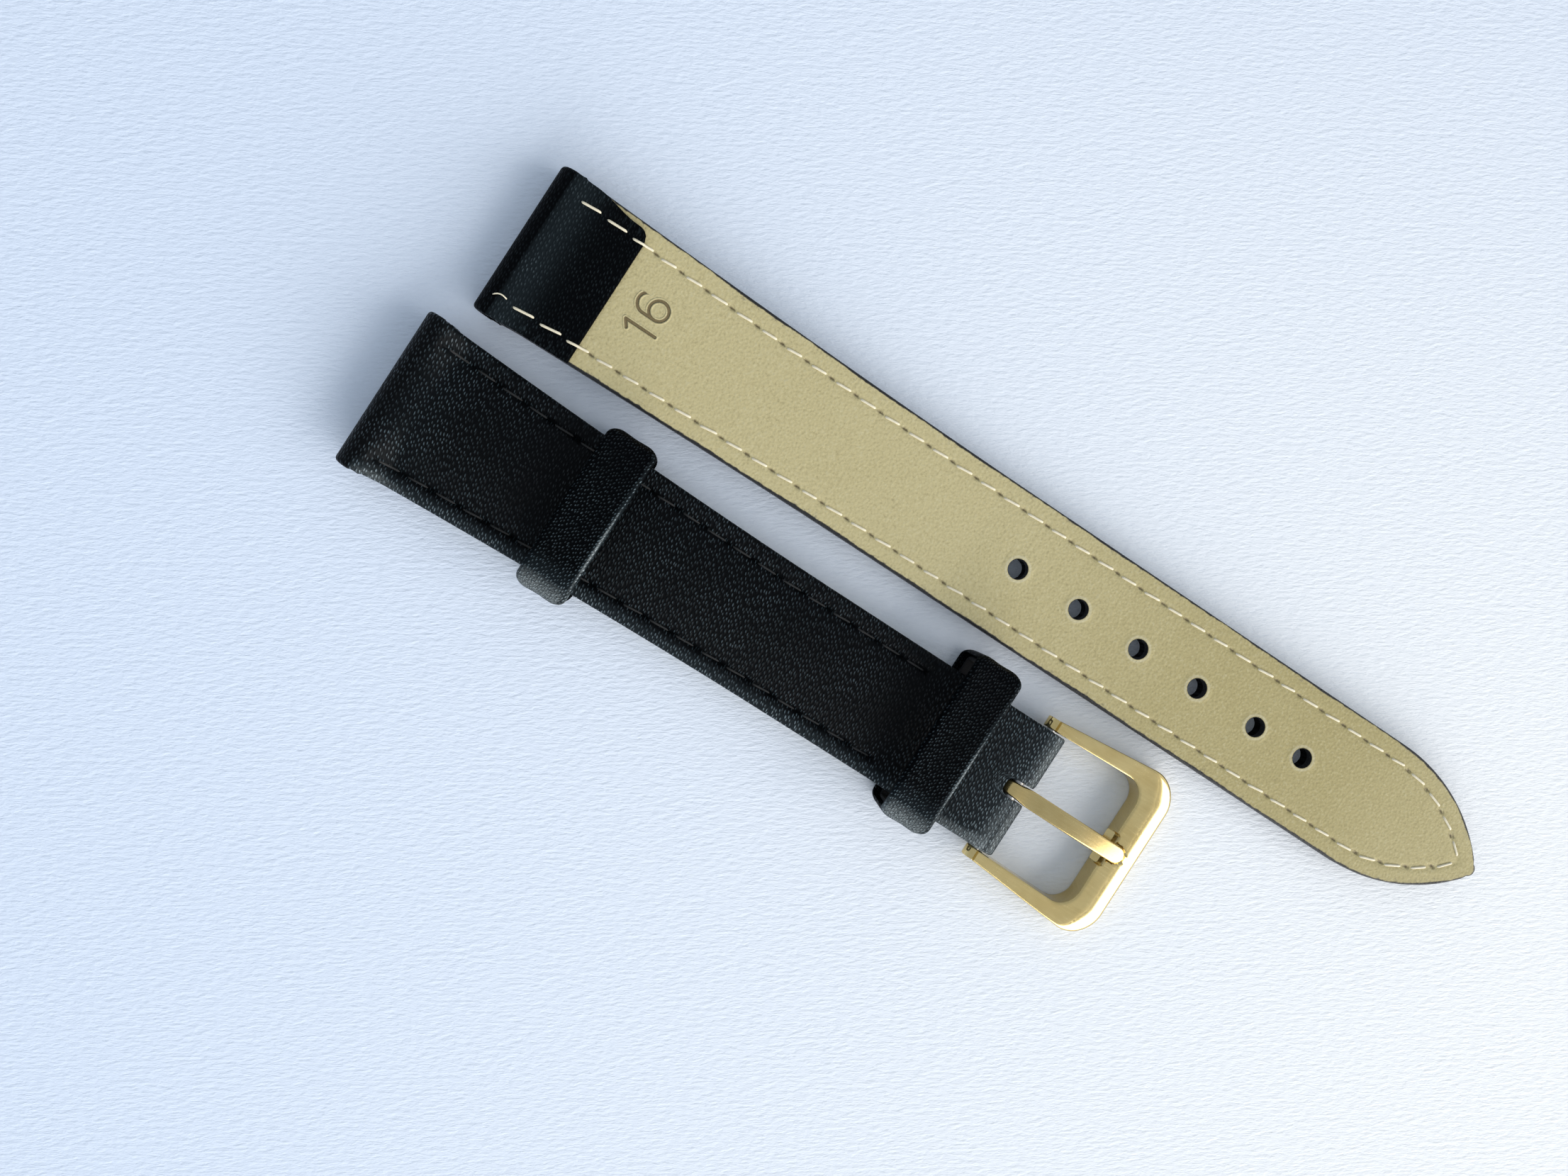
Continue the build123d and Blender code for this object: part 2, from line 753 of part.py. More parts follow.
def coil(length):
    """Coil of square wire along the bar's axis, a ruled loft through one section each step."""
    steps = spring_turns * spring_steps
    climb = length / spring_turns / (2 * pi)
    sections = []
    for i in range(steps + 1):
        angle = 2 * pi * i / spring_steps
        out = (cos(angle), 0, sin(angle))
        centre = (
            bar_x + spring_radius * cos(angle),
            length * (i / steps - 1 / 2),
            bar_z + spring_radius * sin(angle),
        )
        way = (-spring_radius * sin(angle), climb, spring_radius * cos(angle))
        sections.append(Plane(origin=centre, x_dir=out, z_dir=way) * Rectangle(spring_wire, spring_wire))
    return loft_through(sections)


def save(name, *shapes):
    """Write one node: its solids, in the strap's frame."""
    home = Location((-strap_centre_x, -strap_centre_y, 0))
    solids = [s for shape in shapes for s in (home * shape).solids()]
    node = Compound(children=solids) if len(solids) > 1 else solids[0]
    node.label = name
    export_step(node, "parts/%s.step" % name)


short_half()
long_half()
keeper("free_keeper", free_keeper_x, 0, free_keeper_width, keeper_wall)
keeper("fixed_keeper", fixed_keeper_x, fixed_keeper_shift, fixed_keeper_width, keeper_wall + keeper_slack)
save("buckle_frame", buckle_frame())
save("buckle_tongue", buckle_tongue())
spring_bar()
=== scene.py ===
"""A two-piece leather watch strap: padded halves, stitched seams, two keepers and a gold-coloured buckle."""

import bisect
import logging
import math
import random
from dataclasses import dataclass
from enum import Enum
from typing import Callable, Dict, List, Optional, Sequence, Tuple, Union

import bmesh
import bpy
from mathutils import Matrix, Vector


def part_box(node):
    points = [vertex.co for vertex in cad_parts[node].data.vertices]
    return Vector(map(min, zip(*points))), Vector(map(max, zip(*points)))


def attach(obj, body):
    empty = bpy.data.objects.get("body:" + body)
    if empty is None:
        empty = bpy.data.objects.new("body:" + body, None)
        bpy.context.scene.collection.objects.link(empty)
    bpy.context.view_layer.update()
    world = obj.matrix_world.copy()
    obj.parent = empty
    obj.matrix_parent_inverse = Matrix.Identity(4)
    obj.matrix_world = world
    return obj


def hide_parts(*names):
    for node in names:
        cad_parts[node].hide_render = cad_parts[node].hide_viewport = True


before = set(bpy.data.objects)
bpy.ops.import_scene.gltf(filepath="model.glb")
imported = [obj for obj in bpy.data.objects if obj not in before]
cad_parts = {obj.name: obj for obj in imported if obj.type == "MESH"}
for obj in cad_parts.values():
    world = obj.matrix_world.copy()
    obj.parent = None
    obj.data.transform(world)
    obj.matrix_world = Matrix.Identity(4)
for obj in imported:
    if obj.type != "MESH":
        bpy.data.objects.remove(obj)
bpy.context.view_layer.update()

LOG = logging.getLogger("strap")
MM = 0.001
Colour = Tuple[float, float, float]
Point = Tuple[float, float, float]
Pair = Tuple[float, float]
Facts = Dict[str, float]
Number = Union["Value", float]


def smooth(low: float, high: float, value: float) -> float:
    """A soft step from 0 at low to 1 at high."""
    share = min(max((value - low) / (high - low), 0.0), 1.0)
    return share * share * (3 - 2 * share)


def hump(value: float, centre: float, width: float) -> float:
    """A soft hump of height 1 at centre."""
    return math.exp(-(((value - centre) / width) ** 2))


def mix(low: float, high: float, share: float) -> float:
    """The value at a share of the way from low to high."""
    return low + (high - low) * share


def rounding(distance: float, radius: float) -> float:
    """How far a rounded edge drops at a distance from the edge."""
    if distance >= radius:
        return 0.0
    back = radius - max(distance, 0.0)
    return radius - math.sqrt(max(radius * radius - back * back, 0.0))


# ---- Finishes


class Value:
    """A shader value. Arithmetic on it adds Math nodes to its net."""

    def __init__(self, net: "Net", socket: bpy.types.NodeSocket) -> None:
        """Keeps the net and the socket that gives the value."""
        self.net = net
        self.socket = socket

    def __add__(self, other: Number) -> "Value":
        """Sum."""
        return self.net.maths("ADD", self, other)

    __radd__ = __add__

    def __sub__(self, other: Number) -> "Value":
        """Difference."""
        return self.net.maths("SUBTRACT", self, other)

    def __rsub__(self, other: float) -> "Value":
        """Difference from a number."""
        return self.net.maths("SUBTRACT", other, self)

    def __mul__(self, other: Number) -> "Value":
        """Product."""
        return self.net.maths("MULTIPLY", self, other)

    __rmul__ = __mul__

    def __truediv__(self, other: Number) -> "Value":
        """Quotient."""
        return self.net.maths("DIVIDE", self, other)

    def __abs__(self) -> "Value":
        """Size without sign."""
        return self.net.maths("ABSOLUTE", self)

    def least(self, other: Number) -> "Value":
        """The smaller of two values."""
        return self.net.maths("MINIMUM", self, other)

    def most(self, other: Number) -> "Value":
        """The larger of two values."""
        return self.net.maths("MAXIMUM", self, other)

    def share(self) -> "Value":
        """The value, held between 0 and 1."""
        return self.most(0.0).least(1.0)

    def step(self, low: float, high: float) -> "Value":
        """A soft step from 0 at low to 1 at high."""
        settings = {"interpolation_type": "SMOOTHSTEP"}
        return self.net.node("ShaderNodeMapRange", settings, {0: self, 1: low, 2: high})


class Net:
    """The node tree of one material, with a Principled shader at its end, or the tree of the surround."""

    def __init__(self, name: str = "", tree: Optional[bpy.types.NodeTree] = None) -> None:
        """Starts a material, or goes on with a tree.

        Args:
            name: The material's name.
            tree: A tree that is there already.
        """
        if tree:
            self.tree = tree
            return
        self.material = bpy.data.materials.new(name)
        self.material.use_nodes = True
        self.tree = self.material.node_tree
        self.tree.nodes.clear()
        self.shader = self.tree.nodes.new("ShaderNodeBsdfPrincipled")
        output = self.tree.nodes.new("ShaderNodeOutputMaterial")
        self.tree.links.new(self.shader.outputs[0], output.inputs[0])

    def feed(self, target: bpy.types.NodeSocket, value: Union[Number, Sequence[float]]) -> None:
        """Links a value to a socket, or sets the socket to a number."""
        if isinstance(value, Value):
            self.tree.links.new(value.socket, target)
        else:
            target.default_value = value

    def node(self, kind: str, settings: Dict, inputs: Dict, output: Union[int, str] = 0) -> Value:
        """Adds a node.

        Args:
            kind: The node's type.
            settings: Its properties, set first.
            inputs: A value or number for each socket, by name or place.
            output: The socket to give back.

        Returns:
            The value of that socket.
        """
        made = self.tree.nodes.new(kind)
        for key, setting in settings.items():
            setattr(made, key, setting)
        for key, value in inputs.items():
            self.feed(made.inputs[key], value)
        return Value(self, made.outputs[output])

    def maths(self, operation: str, *values: Number) -> Value:
        """A Math node on one or two values."""
        return self.node("ShaderNodeMath", {"operation": operation}, dict(enumerate(values)))

    def blend(self, low: Union[Value, Colour], high: Union[Value, Colour], share: Number) -> Value:
        """A colour between two.

        Args:
            low: The colour at share 0.
            high: The colour at share 1.
            share: How much of the second.

        Returns:
            The mixed colour.
        """
        low, high = (c if isinstance(c, Value) else (*c, 1.0) for c in (low, high))
        return self.node("ShaderNodeMix", {"data_type": "RGBA"}, {0: share, 6: low, 7: high}, 2)

    def place(self, scale: Point = (1.0, 1.0, 1.0)) -> Value:
        """Object coordinates in millimetres, scaled."""
        at = self.node("ShaderNodeTexCoord", {}, {}, "Object")
        return self.node("ShaderNodeMapping", {}, {"Vector": at, "Scale": tuple(s / MM for s in scale)})

    def part(self, vector: Value, axis: int) -> Value:
        """One part of a vector, or of a colour."""
        return self.node("ShaderNodeSeparateXYZ", {}, {0: vector}, axis)

    def axes(self) -> Tuple[Value, Value]:
        """X and Y of the object coordinates in millimetres."""
        place = self.place()
        return self.part(place, 0), self.part(place, 1)

    def flat(self, x: Value, y: Value) -> Value:
        """A place in a flat pattern."""
        return self.node("ShaderNodeCombineXYZ", {}, {0: x, 1: y})

    def fact(self, name: str) -> Value:
        """A number that the mesh carries at each point."""
        return self.node("ShaderNodeAttribute", {"attribute_name": name}, {}, "Fac")

    def noise(
        self, at: Value, scale: float, detail: float = 3.0, rough: float = 0.5, output: Union[int, str] = 0
    ) -> Value:
        """Cloudy noise from 0 to 1."""
        inputs = {"Vector": at, "Scale": scale, "Detail": detail, "Roughness": rough}
        return self.node("ShaderNodeTexNoise", {}, inputs, output)

    def cells(self, at: Value, scale: float, flat: bool, loose: float, output: str = "Distance") -> Value:
        """A pattern of random cells.

        Args:
            at: The place in the pattern.
            scale: Cells for each unit of it.
            flat: Whether the pattern is flat.
            loose: How far the cells stray from a regular grid.
            output: Whether the distance from a cell's middle or its chance colour is given.

        Returns:
            That distance or colour.
        """
        settings = {"feature": "F1", "voronoi_dimensions": "2D" if flat else "3D"}
        inputs = {"Vector": at, "Scale": scale, "Randomness": loose}
        return self.node("ShaderNodeTexVoronoi", settings, inputs, output)

    def bump(self, height: Value, depth: float, strength: float = 1.0, under: Optional[Value] = None) -> Value:
        """Relief from a height.

        Args:
            height: Height from 0 to 1.
            depth: The height of 1, in millimetres.
            strength: The share of the relief that is used.
            under: Relief that lies below this one.

        Returns:
            The normal.
        """
        sockets = {"Strength": strength, "Distance": depth * MM, "Height": height}
        if under is not None:
            sockets["Normal"] = under
        return self.node("ShaderNodeBump", {}, sockets)

    def finish(self, **sockets: Number) -> bpy.types.Material:
        """Sets the shader's sockets and gives the material."""
        for name, value in sockets.items():
            self.feed(self.shader.inputs[name.replace("_", " ")], value)
        return self.material


@dataclass(frozen=True)
class GrainLeather:
    """Black leather with a fine printed grain: short raised streaks across the strip, in staggered rows, with their
    glints painted into the colour as pale streaks.
    """

    name: str
    dark: Colour = (0.0010, 0.0014, 0.0019)
    # The next colour is painted on the streaks as their glint; the grey after it marks rubbed spots and painted
    # sheen.
    painted_glint: Colour = (0.070, 0.099, 0.114)
    chalk_and_sheen: Colour = (0.33, 0.36, 0.36)
    glint_paint_and_coat: float = 0.8
    cell: Pair = (0.27, 0.60)
    depth: float = 0.035
    roughness: float = 0.32
    gloss: float = 0.07
    sway: float = 0.9
    loose: float = 0.5
    streak: Pair = (0.10, 0.29)
    swell: Pair = (0.1, 0.62)
    margin: Pair = (0.5, 1.7)
    crease: Pair = (0.3, 1.1)

    def make(self) -> bpy.types.Material:
        """The material."""
        net = Net(self.name)
        u, v, edge, worn_and_lit = (net.fact(name) for name in ("u", "v", "edge", "worn_and_lit"))
        row = u / self.cell[0]
        at = net.flat(row, v / self.cell[1] + row * 0.5)
        drift = net.noise(at, 0.45, 2.0, output="Color")
        sway = (self.sway, self.sway, self.sway)
        at = net.node("ShaderNodeVectorMath", {"operation": "MULTIPLY_ADD"}, {0: drift, 1: sway, 2: at})
        spots = net.cells(at, 1.0, True, self.loose)
        chance = net.part(net.cells(at, 1.0, True, self.loose, "Color"), 0)
        swell = 1.0 - spots.step(*self.swell)
        place = net.place()
        broad = net.noise(place, 0.22)
        pores = net.noise(place, 9.0, 2.0, 0.6)
        margin = 1.0 - edge.step(*self.margin)
        crease = net.noise(net.flat(u / self.crease[0], v / self.crease[1]), 1.0, 3.0, 0.6)
        # Painted highlight: a mask of pale glints on the streaks, painted into the base colour; it also weights the
        # clear coat.
        glint_paint_and_coat = 1.0 - spots.step(*self.streak)
        glint_paint_and_coat = glint_paint_and_coat * (0.35 + 0.65 * chance) * (broad.step(0.3, 0.7) * 0.6 + 0.4) * self.glint_paint_and_coat
        scuff = margin * crease.step(0.5, 0.8) * 0.16
        # Painted light and shade: the per-point attribute brightens the painted glints and adds grey where it
        # carries painted sheen, and darkens them where it carries painted shade.
        pale = glint_paint_and_coat * (1.0 + 4.0 * worn_and_lit).most(0.06) + scuff + worn_and_lit.most(0.0) * 0.24
        chalk_and_sheen = (worn_and_lit - 0.5).most(0.0) * pores.step(0.3, 0.62) * 1.4 + (worn_and_lit - 0.25).most(0.0) * glint_paint_and_coat * 1.5
        colour = net.blend(self.dark, self.painted_glint, pale.least(1.0))
        colour = net.blend(colour, self.chalk_and_sheen, chalk_and_sheen.least(1.0))
        rough = self.roughness + 0.25 * (1.0 - swell) + 0.2 * (broad - 0.5) + 0.12 * worn_and_lit
        fine = net.bump(pores * 0.25 + crease * margin * 2.0, 0.045, 0.6)
        return net.finish(
            Base_Color=colour, Roughness=rough, Normal=net.bump(swell, self.depth, 1.0, fine),
            Specular_IOR_Level=self.gloss, Coat_Weight=(glint_paint_and_coat * 0.9).least(1.0), Coat_Roughness=0.3, Coat_IOR=1.4,
        )


@dataclass(frozen=True)
class LiningLeather:
    """Smooth tan lining leather with painted black edges, a size number pressed in and needle holes."""

    name: str
    number_at: Optional[Pair] = None
    tan: Colour = (0.50, 0.43, 0.225)
    olive: Colour = (0.385, 0.32, 0.138)
    light_fleck: Colour = (0.60, 0.55, 0.36)
    dark_fleck: Colour = (0.26, 0.21, 0.10)
    # Colour of the painted shade in the needle holes.
    needle: Colour = (0.13, 0.098, 0.045)
    # Colour of the painted highlight on the punched rims.
    lip: Colour = (0.72, 0.68, 0.52)
    pressed: Colour = (0.105, 0.066, 0.024)
    smear: Colour = (0.11, 0.10, 0.085)
    paint: Colour = (0.012, 0.012, 0.013)
    stroke: float = 0.105
    relief: float = 0.14

    def make(self) -> bpy.types.Material:
        """The material."""
        net = Net(self.name)
        x, y = net.axes()
        at = net.place()
        fine = net.noise(at, 3.6, 4.0, 0.65)
        broad = net.noise(at, 0.16, 4.0, 0.55)
        pores = net.cells(at, 3.4, False, 1.0)
        far = x.step(-8.0, 32.0) * 0.9 - x.step(38.0, 58.0) * 0.45
        colour = net.blend(self.tan, self.olive, (far + (broad - 0.5) * 0.5).share())
        colour = net.blend(colour, self.light_fleck, fine.step(0.5, 0.72) * 0.34)
        colour = net.blend(colour, self.dark_fleck, (1.0 - fine.step(0.28, 0.5)) * 0.42)
        relief = net.bump(fine * 0.5 + pores * 0.5, 0.045)
        prick = net.fact("prick")
        torn = net.noise(at, 6.0, 2.0, 0.7)
        # Painted shade in the needle holes.
        colour = net.blend(colour, self.needle, (prick * 1.25 - (torn - 0.5).most(0.0) * 2.0).share())
        relief = net.bump(1.0 - prick, self.relief, 1.0, relief)
        ring = net.fact("rim")
        # Painted highlight: a pale ring on the crest of the raised rim round each hole.
        colour = net.blend(colour, self.lip, (1.0 - (abs(ring - 0.22) / 0.2).least(1.0)) * 0.3)
        if self.number_at:
            mark = self._number(net, x, y)
            inside = 1.0 - mark.step(-0.02, 0.07)
            lip = 1.0 - (abs(mark - 0.13) / 0.12).least(1.0)
            colour = net.blend(colour, self.pressed, inside * (0.7 + fine * 0.3))
            relief = net.bump(1.0 - inside + lip * 0.3, self.relief, 1.0, relief)
        ragged = (net.noise(at, 1.3) - 0.5) * 0.25 + (net.noise(at, 0.12, 2.0) - 0.5) * 0.5
        edge = net.fact("edge")
        smear = (1.0 - (edge - ragged * 3.0).step(0.1, 0.85)) * net.noise(at, 2.6, 4.0, 0.7).step(0.5, 0.72)
        paint = (1.0 - (edge - ragged).step(0.17, 0.29)).most(1.0 - ring.step(0.01, 0.07))
        colour = net.blend(net.blend(colour, self.smear, smear * 0.55), self.paint, paint)
        rough = 0.62 - paint * 0.15 + (fine - 0.5) * 0.15
        return net.finish(Base_Color=colour, Roughness=rough, Normal=relief, Specular_IOR_Level=0.35)

    def _number(self, net: Net, x: Value, y: Value) -> Value:
        """Distance in millimetres from the strokes of the size number 16, which reads along +Y."""
        u, v = y - self.number_at[1], self.number_at[0] - x
        one = self._stroke(net, u, v, (-1.28, -1.6), (-1.28, 1.6))
        flag = self._stroke(net, u, v, (-1.28, 1.6), (-1.95, 1.12))
        bowl = abs(self._length(net, u - 0.97, v + 0.62) - 0.95)
        arch = abs(self._length(net, u - 1.02, v - 0.62) - 1.0)
        arch = arch + (0.62 - v).most(0.0) * 4.0 + (u - 1.72).most(0.0) * 4.0
        back = self._stroke(net, u, v, (0.02, 0.62), (0.02, -0.62))
        return one.least(flag).least(bowl).least(arch).least(back) - self.stroke

    @staticmethod
    def _length(net: Net, u: Value, v: Value) -> Value:
        """Length of a step (u, v)."""
        return net.maths("SQRT", u * u + v * v)

    def _stroke(self, net: Net, u: Value, v: Value, start: Pair, end: Pair) -> Value:
        """Distance from a straight stroke."""
        du, dv = end[0] - start[0], end[1] - start[1]
        share = (((u - start[0]) * du + (v - start[1]) * dv) / (du * du + dv * dv)).share()
        return self._length(net, u - start[0] - share * du, v - start[1] - share * dv)


@dataclass(frozen=True)
class Thread:
    """Twisted sewing thread."""

    name: str
    colour: Colour
    shadow: Colour
    roughness: float = 0.6
    gloss: float = 0.4
    twists: float = 7.0

    def make(self) -> bpy.types.Material:
        """The material."""
        net = Net(self.name)
        along = net.fact("along")
        ply = net.maths("SINE", (along * self.twists + net.fact("around") * 2.0) * (2 * math.pi)) * 0.5 + 0.5
        fuzz = net.noise(net.place(), 9.0, 3.0, 0.6)
        # Painted shade: the colour falls towards the shadow colour in the grooves between the plies and towards the
        # ends, where the thread dips into its holes.
        ends = (abs(along - 0.5) * 2.0).step(0.72, 0.98)
        tone = ((ply * 0.7 + fuzz * 0.5) * (1.0 - 0.75 * ends)).least(1.0)
        return net.finish(
            Base_Color=net.blend(self.shadow, self.colour, tone), Roughness=self.roughness,
            Normal=net.bump(ply * 0.8 + fuzz * 0.2, 0.04), Specular_IOR_Level=self.gloss,
        )


@dataclass(frozen=True)
class Metal:
    """Plated or plain metal, polished, with satin faces where the mesh says so."""

    name: str
    colour: Colour
    deep: Colour
    roughness: float
    satin: float
    brush: float
    brush_axis: int = 0

    def make(self) -> bpy.types.Material:
        """The material."""
        net = Net(self.name)
        stretch = tuple(0.5 if axis == self.brush_axis else 5.0 for axis in range(3))
        lines = net.noise(net.place(stretch), 1.0, 4.0, 0.6)
        broad = net.noise(net.place(), 0.4, 2.0)
        specks = net.noise(net.place(), 4.5, 3.0, 0.75)
        matt = (net.fact("satin") + (specks - 0.5) * 0.5).step(0.38, 0.62)
        colour = net.blend(self.deep, self.colour, (lines * 0.5 + broad * 0.8 - 0.1).share())
        rough = self.roughness + matt * (self.satin - self.roughness) + (lines - 0.5) * self.brush
        rough = rough + (specks - 0.5) * self.brush
        relief = net.bump(lines + specks * matt, 0.004)
        return net.finish(Base_Color=colour, Metallic=1.0, Roughness=rough.most(0.04), Normal=relief)


@dataclass(frozen=True)
class Felt:
    """Hidden padding and core board."""

    name: str
    colour: Colour

    def make(self) -> bpy.types.Material:
        """The material."""
        net = Net(self.name)
        fuzz = net.noise(net.place(), 2.5, 5.0, 0.7)
        dark = tuple(c * 0.6 for c in self.colour)
        return net.finish(Base_Color=net.blend(dark, self.colour, fuzz), Roughness=0.9, Normal=net.bump(fuzz, 0.08))


@dataclass(frozen=True)
class Paper:
    """The pale sheet that the strap lies on, with painted light falloff: bluer and darker away from the lamp, and a
    little darker in the hollows of its tooth.
    """

    name: str
    painted_shade_side: Colour = (0.70, 0.78, 0.91)
    plain: Colour = (0.88, 0.885, 0.885)
    far: Colour = (0.64, 0.72, 0.86)
    hollow: Colour = (0.55, 0.62, 0.74)

    def make(self) -> bpy.types.Material:
        """The material."""
        net = Net(self.name)
        x, y = net.axes()
        tooth = net.noise(net.flat(x * 0.7 + y * 0.45, y * 2.1 - x * 1.35), 1.0, 5.0, 0.62)
        # Painted light falloff: bluer and darker towards -X and towards the far +Y side, away from the lamp.
        colour = net.blend(self.painted_shade_side, self.plain, (x + y * 0.3).step(-95.0, 95.0))
        colour = net.blend(colour, self.far, y.step(15.0, 110.0) * 0.6)
        # Painted shade in the hollows of the paper's tooth.
        colour = net.blend(colour, self.hollow, (1.0 - tooth.step(0.28, 0.5)) * 0.12)
        return net.finish(Base_Color=colour, Roughness=0.85, Normal=net.bump(tooth, 0.13))


class Finish(Enum):
    """The finishes of the strap's pieces."""

    GRAIN = GrainLeather("black_grain_leather")
    FLAP = GrainLeather("black_smooth_leather", glint_paint_and_coat=0.16, depth=0.028, roughness=0.34, gloss=0.03)
    KEEPER = GrainLeather("black_keeper_leather", glint_paint_and_coat=0.66, cell=(0.27, 0.42), roughness=0.34, gloss=0.022)
    LINING_LONG = LiningLeather("tan_lining_marked", (-42.2, 10.3))
    LINING_SHORT = LiningLeather("tan_lining")
    CREAM = Thread("cream_thread", (0.86, 0.80, 0.66), (0.26, 0.21, 0.12))
    BLACK = Thread("black_thread", (0.0034, 0.0050, 0.0060), (0.0005, 0.0007, 0.0009), 0.42, 0.018)
    GOLD = Metal("polished_gold_plate", (0.80, 0.64, 0.31), (0.62, 0.45, 0.17), 0.14, 0.26, 0.05)
    SATIN = Metal("satin_gold_plate", (0.78, 0.61, 0.29), (0.56, 0.39, 0.14), 0.2, 0.26, 0.08)
    STEEL = Metal("bar_steel", (0.12, 0.115, 0.11), (0.07, 0.07, 0.07), 0.4, 0.45, 0.1, 1)
    PAD = Felt("pad_felt", (0.25, 0.21, 0.17))
    CORE = Felt("core_leather", (0.006, 0.006, 0.007))

    def material(self) -> bpy.types.Material:
        """The finish's material, made once."""
        return bpy.data.materials.get(self.value.name) or self.value.make()


# ---- Meshes


def placed(name: str, data: bpy.types.ID) -> bpy.types.Object:
    """A new object in the scene."""
    made = bpy.data.objects.new(name, data)
    bpy.context.scene.collection.objects.link(made)
    return made


def finish_mesh(
    name: str, bm: bmesh.types.BMesh, finish: Finish, body: str, nodes: Sequence[str], slot: str, sharp: float = 60.0
) -> bpy.types.Object:
    """Makes a bmesh in millimetres a piece of the strap.

    Args:
        name: The piece's name.
        bm: The mesh, in the row frame; it is freed.
        finish: Its finish.
        body: The body that it rides on.
        nodes: The CAD nodes that it stands for.
        slot: Not used.
        sharp: The angle in degrees past which an edge stays sharp.

    Returns:
        The piece.
    """
    bmesh.ops.recalc_face_normals(bm, faces=bm.faces[:])
    bmesh.ops.scale(bm, verts=bm.verts[:], vec=(MM, MM, MM))
    for face in bm.faces:
        face.smooth = True
    mesh = bpy.data.meshes.new(name)
    bm.to_mesh(mesh)
    bm.free()
    mesh.set_sharp_from_angle(angle=math.radians(sharp))
    mesh.materials.append(finish.material())
    piece = placed(name, mesh)
    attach(piece, body)
    if nodes:
        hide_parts(*nodes)
    LOG.info("%s: %d faces", name, len(mesh.polygons))
    return piece


def sweep(
    bm: bmesh.types.BMesh, rings: Sequence[Sequence[Vector]], closed: bool, facts: Callable[[int, int], Facts]
) -> None:
    """Extrudes a ring of points from station to station.

    Args:
        bm: The mesh that it is added to.
        rings: The ring's points at each station.
        closed: Whether the last station joins the first; otherwise both ends are capped.
        facts: Numbers that the mesh carries at a place on a ring.
    """
    kinds = bm.verts.layers
    names = list(facts(0, 0))
    for kind, name in [(kinds.int, "order")] + [(kinds.float, name) for name in names]:
        if kind.get(name) is None:
            kind.new(name)
    order, layers = kinds.int.get("order"), {name: kinds.float.get(name) for name in names}
    made = bmesh.ops.create_circle(bm, cap_ends=False, segments=len(rings[0]), radius=1.0)["verts"]
    for index, vert in enumerate(made):
        vert[order] = index
    first = edges = list(dict.fromkeys(e for v in made for e in v.link_edges))
    verts = set(made)
    for number, ring in enumerate(rings):
        if number:
            geom = bmesh.ops.extrude_edge_only(bm, edges=edges)["geom"]
            verts = {g for g in geom if isinstance(g, bmesh.types.BMVert)}
            edges = [g for g in geom if isinstance(g, bmesh.types.BMEdge) and verts.issuperset(g.verts)]
        for vert in verts:
            vert.co = ring[vert[order]]
            for name, value in facts(number, vert[order]).items():
                vert[layers[name]] = value
    if closed:
        ends = list(dict.fromkeys(v for e in first + edges for v in e.verts))
        bmesh.ops.remove_doubles(bm, verts=ends, dist=1e-5)
    else:
        for rim in (first, edges):
            bmesh.ops.holes_fill(bm, edges=rim, sides=0)


def tube(bm: bmesh.types.BMesh, path: Sequence[Vector], radius: float) -> None:
    """Adds a slightly flattened thread along a path, with rounded ends.

    Args:
        bm: The mesh that it is added to.
        path: Its centreline.
        radius: Its radius.
    """
    sides, flat, narrow = 8, 0.8, 0.55
    rings = []
    last = len(path) - 1
    for i, centre in enumerate(path):
        ahead = (path[min(i + 1, last)] - path[max(i - 1, 0)]).normalized()
        side = ahead.cross(Vector((0, 0, 1))).normalized()
        up = side.cross(ahead)
        size = radius * (narrow if i in (0, last) else 1.0)
        angles = [2 * math.pi * k / sides for k in range(sides)]
        rings.append([centre + size * (side * math.cos(a) + up * flat * math.sin(a)) for a in angles])
    sweep(bm, rings, False, lambda i, k: {"along": i / last, "around": min(k, sides - k) / sides * 2})


def lathe(bm: bmesh.types.BMesh, profile: Sequence[Pair], centre: Vector, steps: int) -> None:
    """Spins a profile round an axis along Y.

    Args:
        bm: The mesh that it is added to.
        profile: Radius and Y of each point.
        centre: A point on the axis; profile Y is counted from it.
        steps: Steps in the turn.
    """
    verts = [bm.verts.new(centre + Vector((r, y, 0.0))) for r, y in profile]
    edges = [bm.edges.new(pair) for pair in zip(verts, verts[1:])]
    bmesh.ops.spin(
        bm, geom=verts + edges, cent=centre, axis=(0, 1, 0), dvec=(0, 0, 0),
        angle=2 * math.pi, steps=steps, use_merge=True, use_duplicate=False,
    )


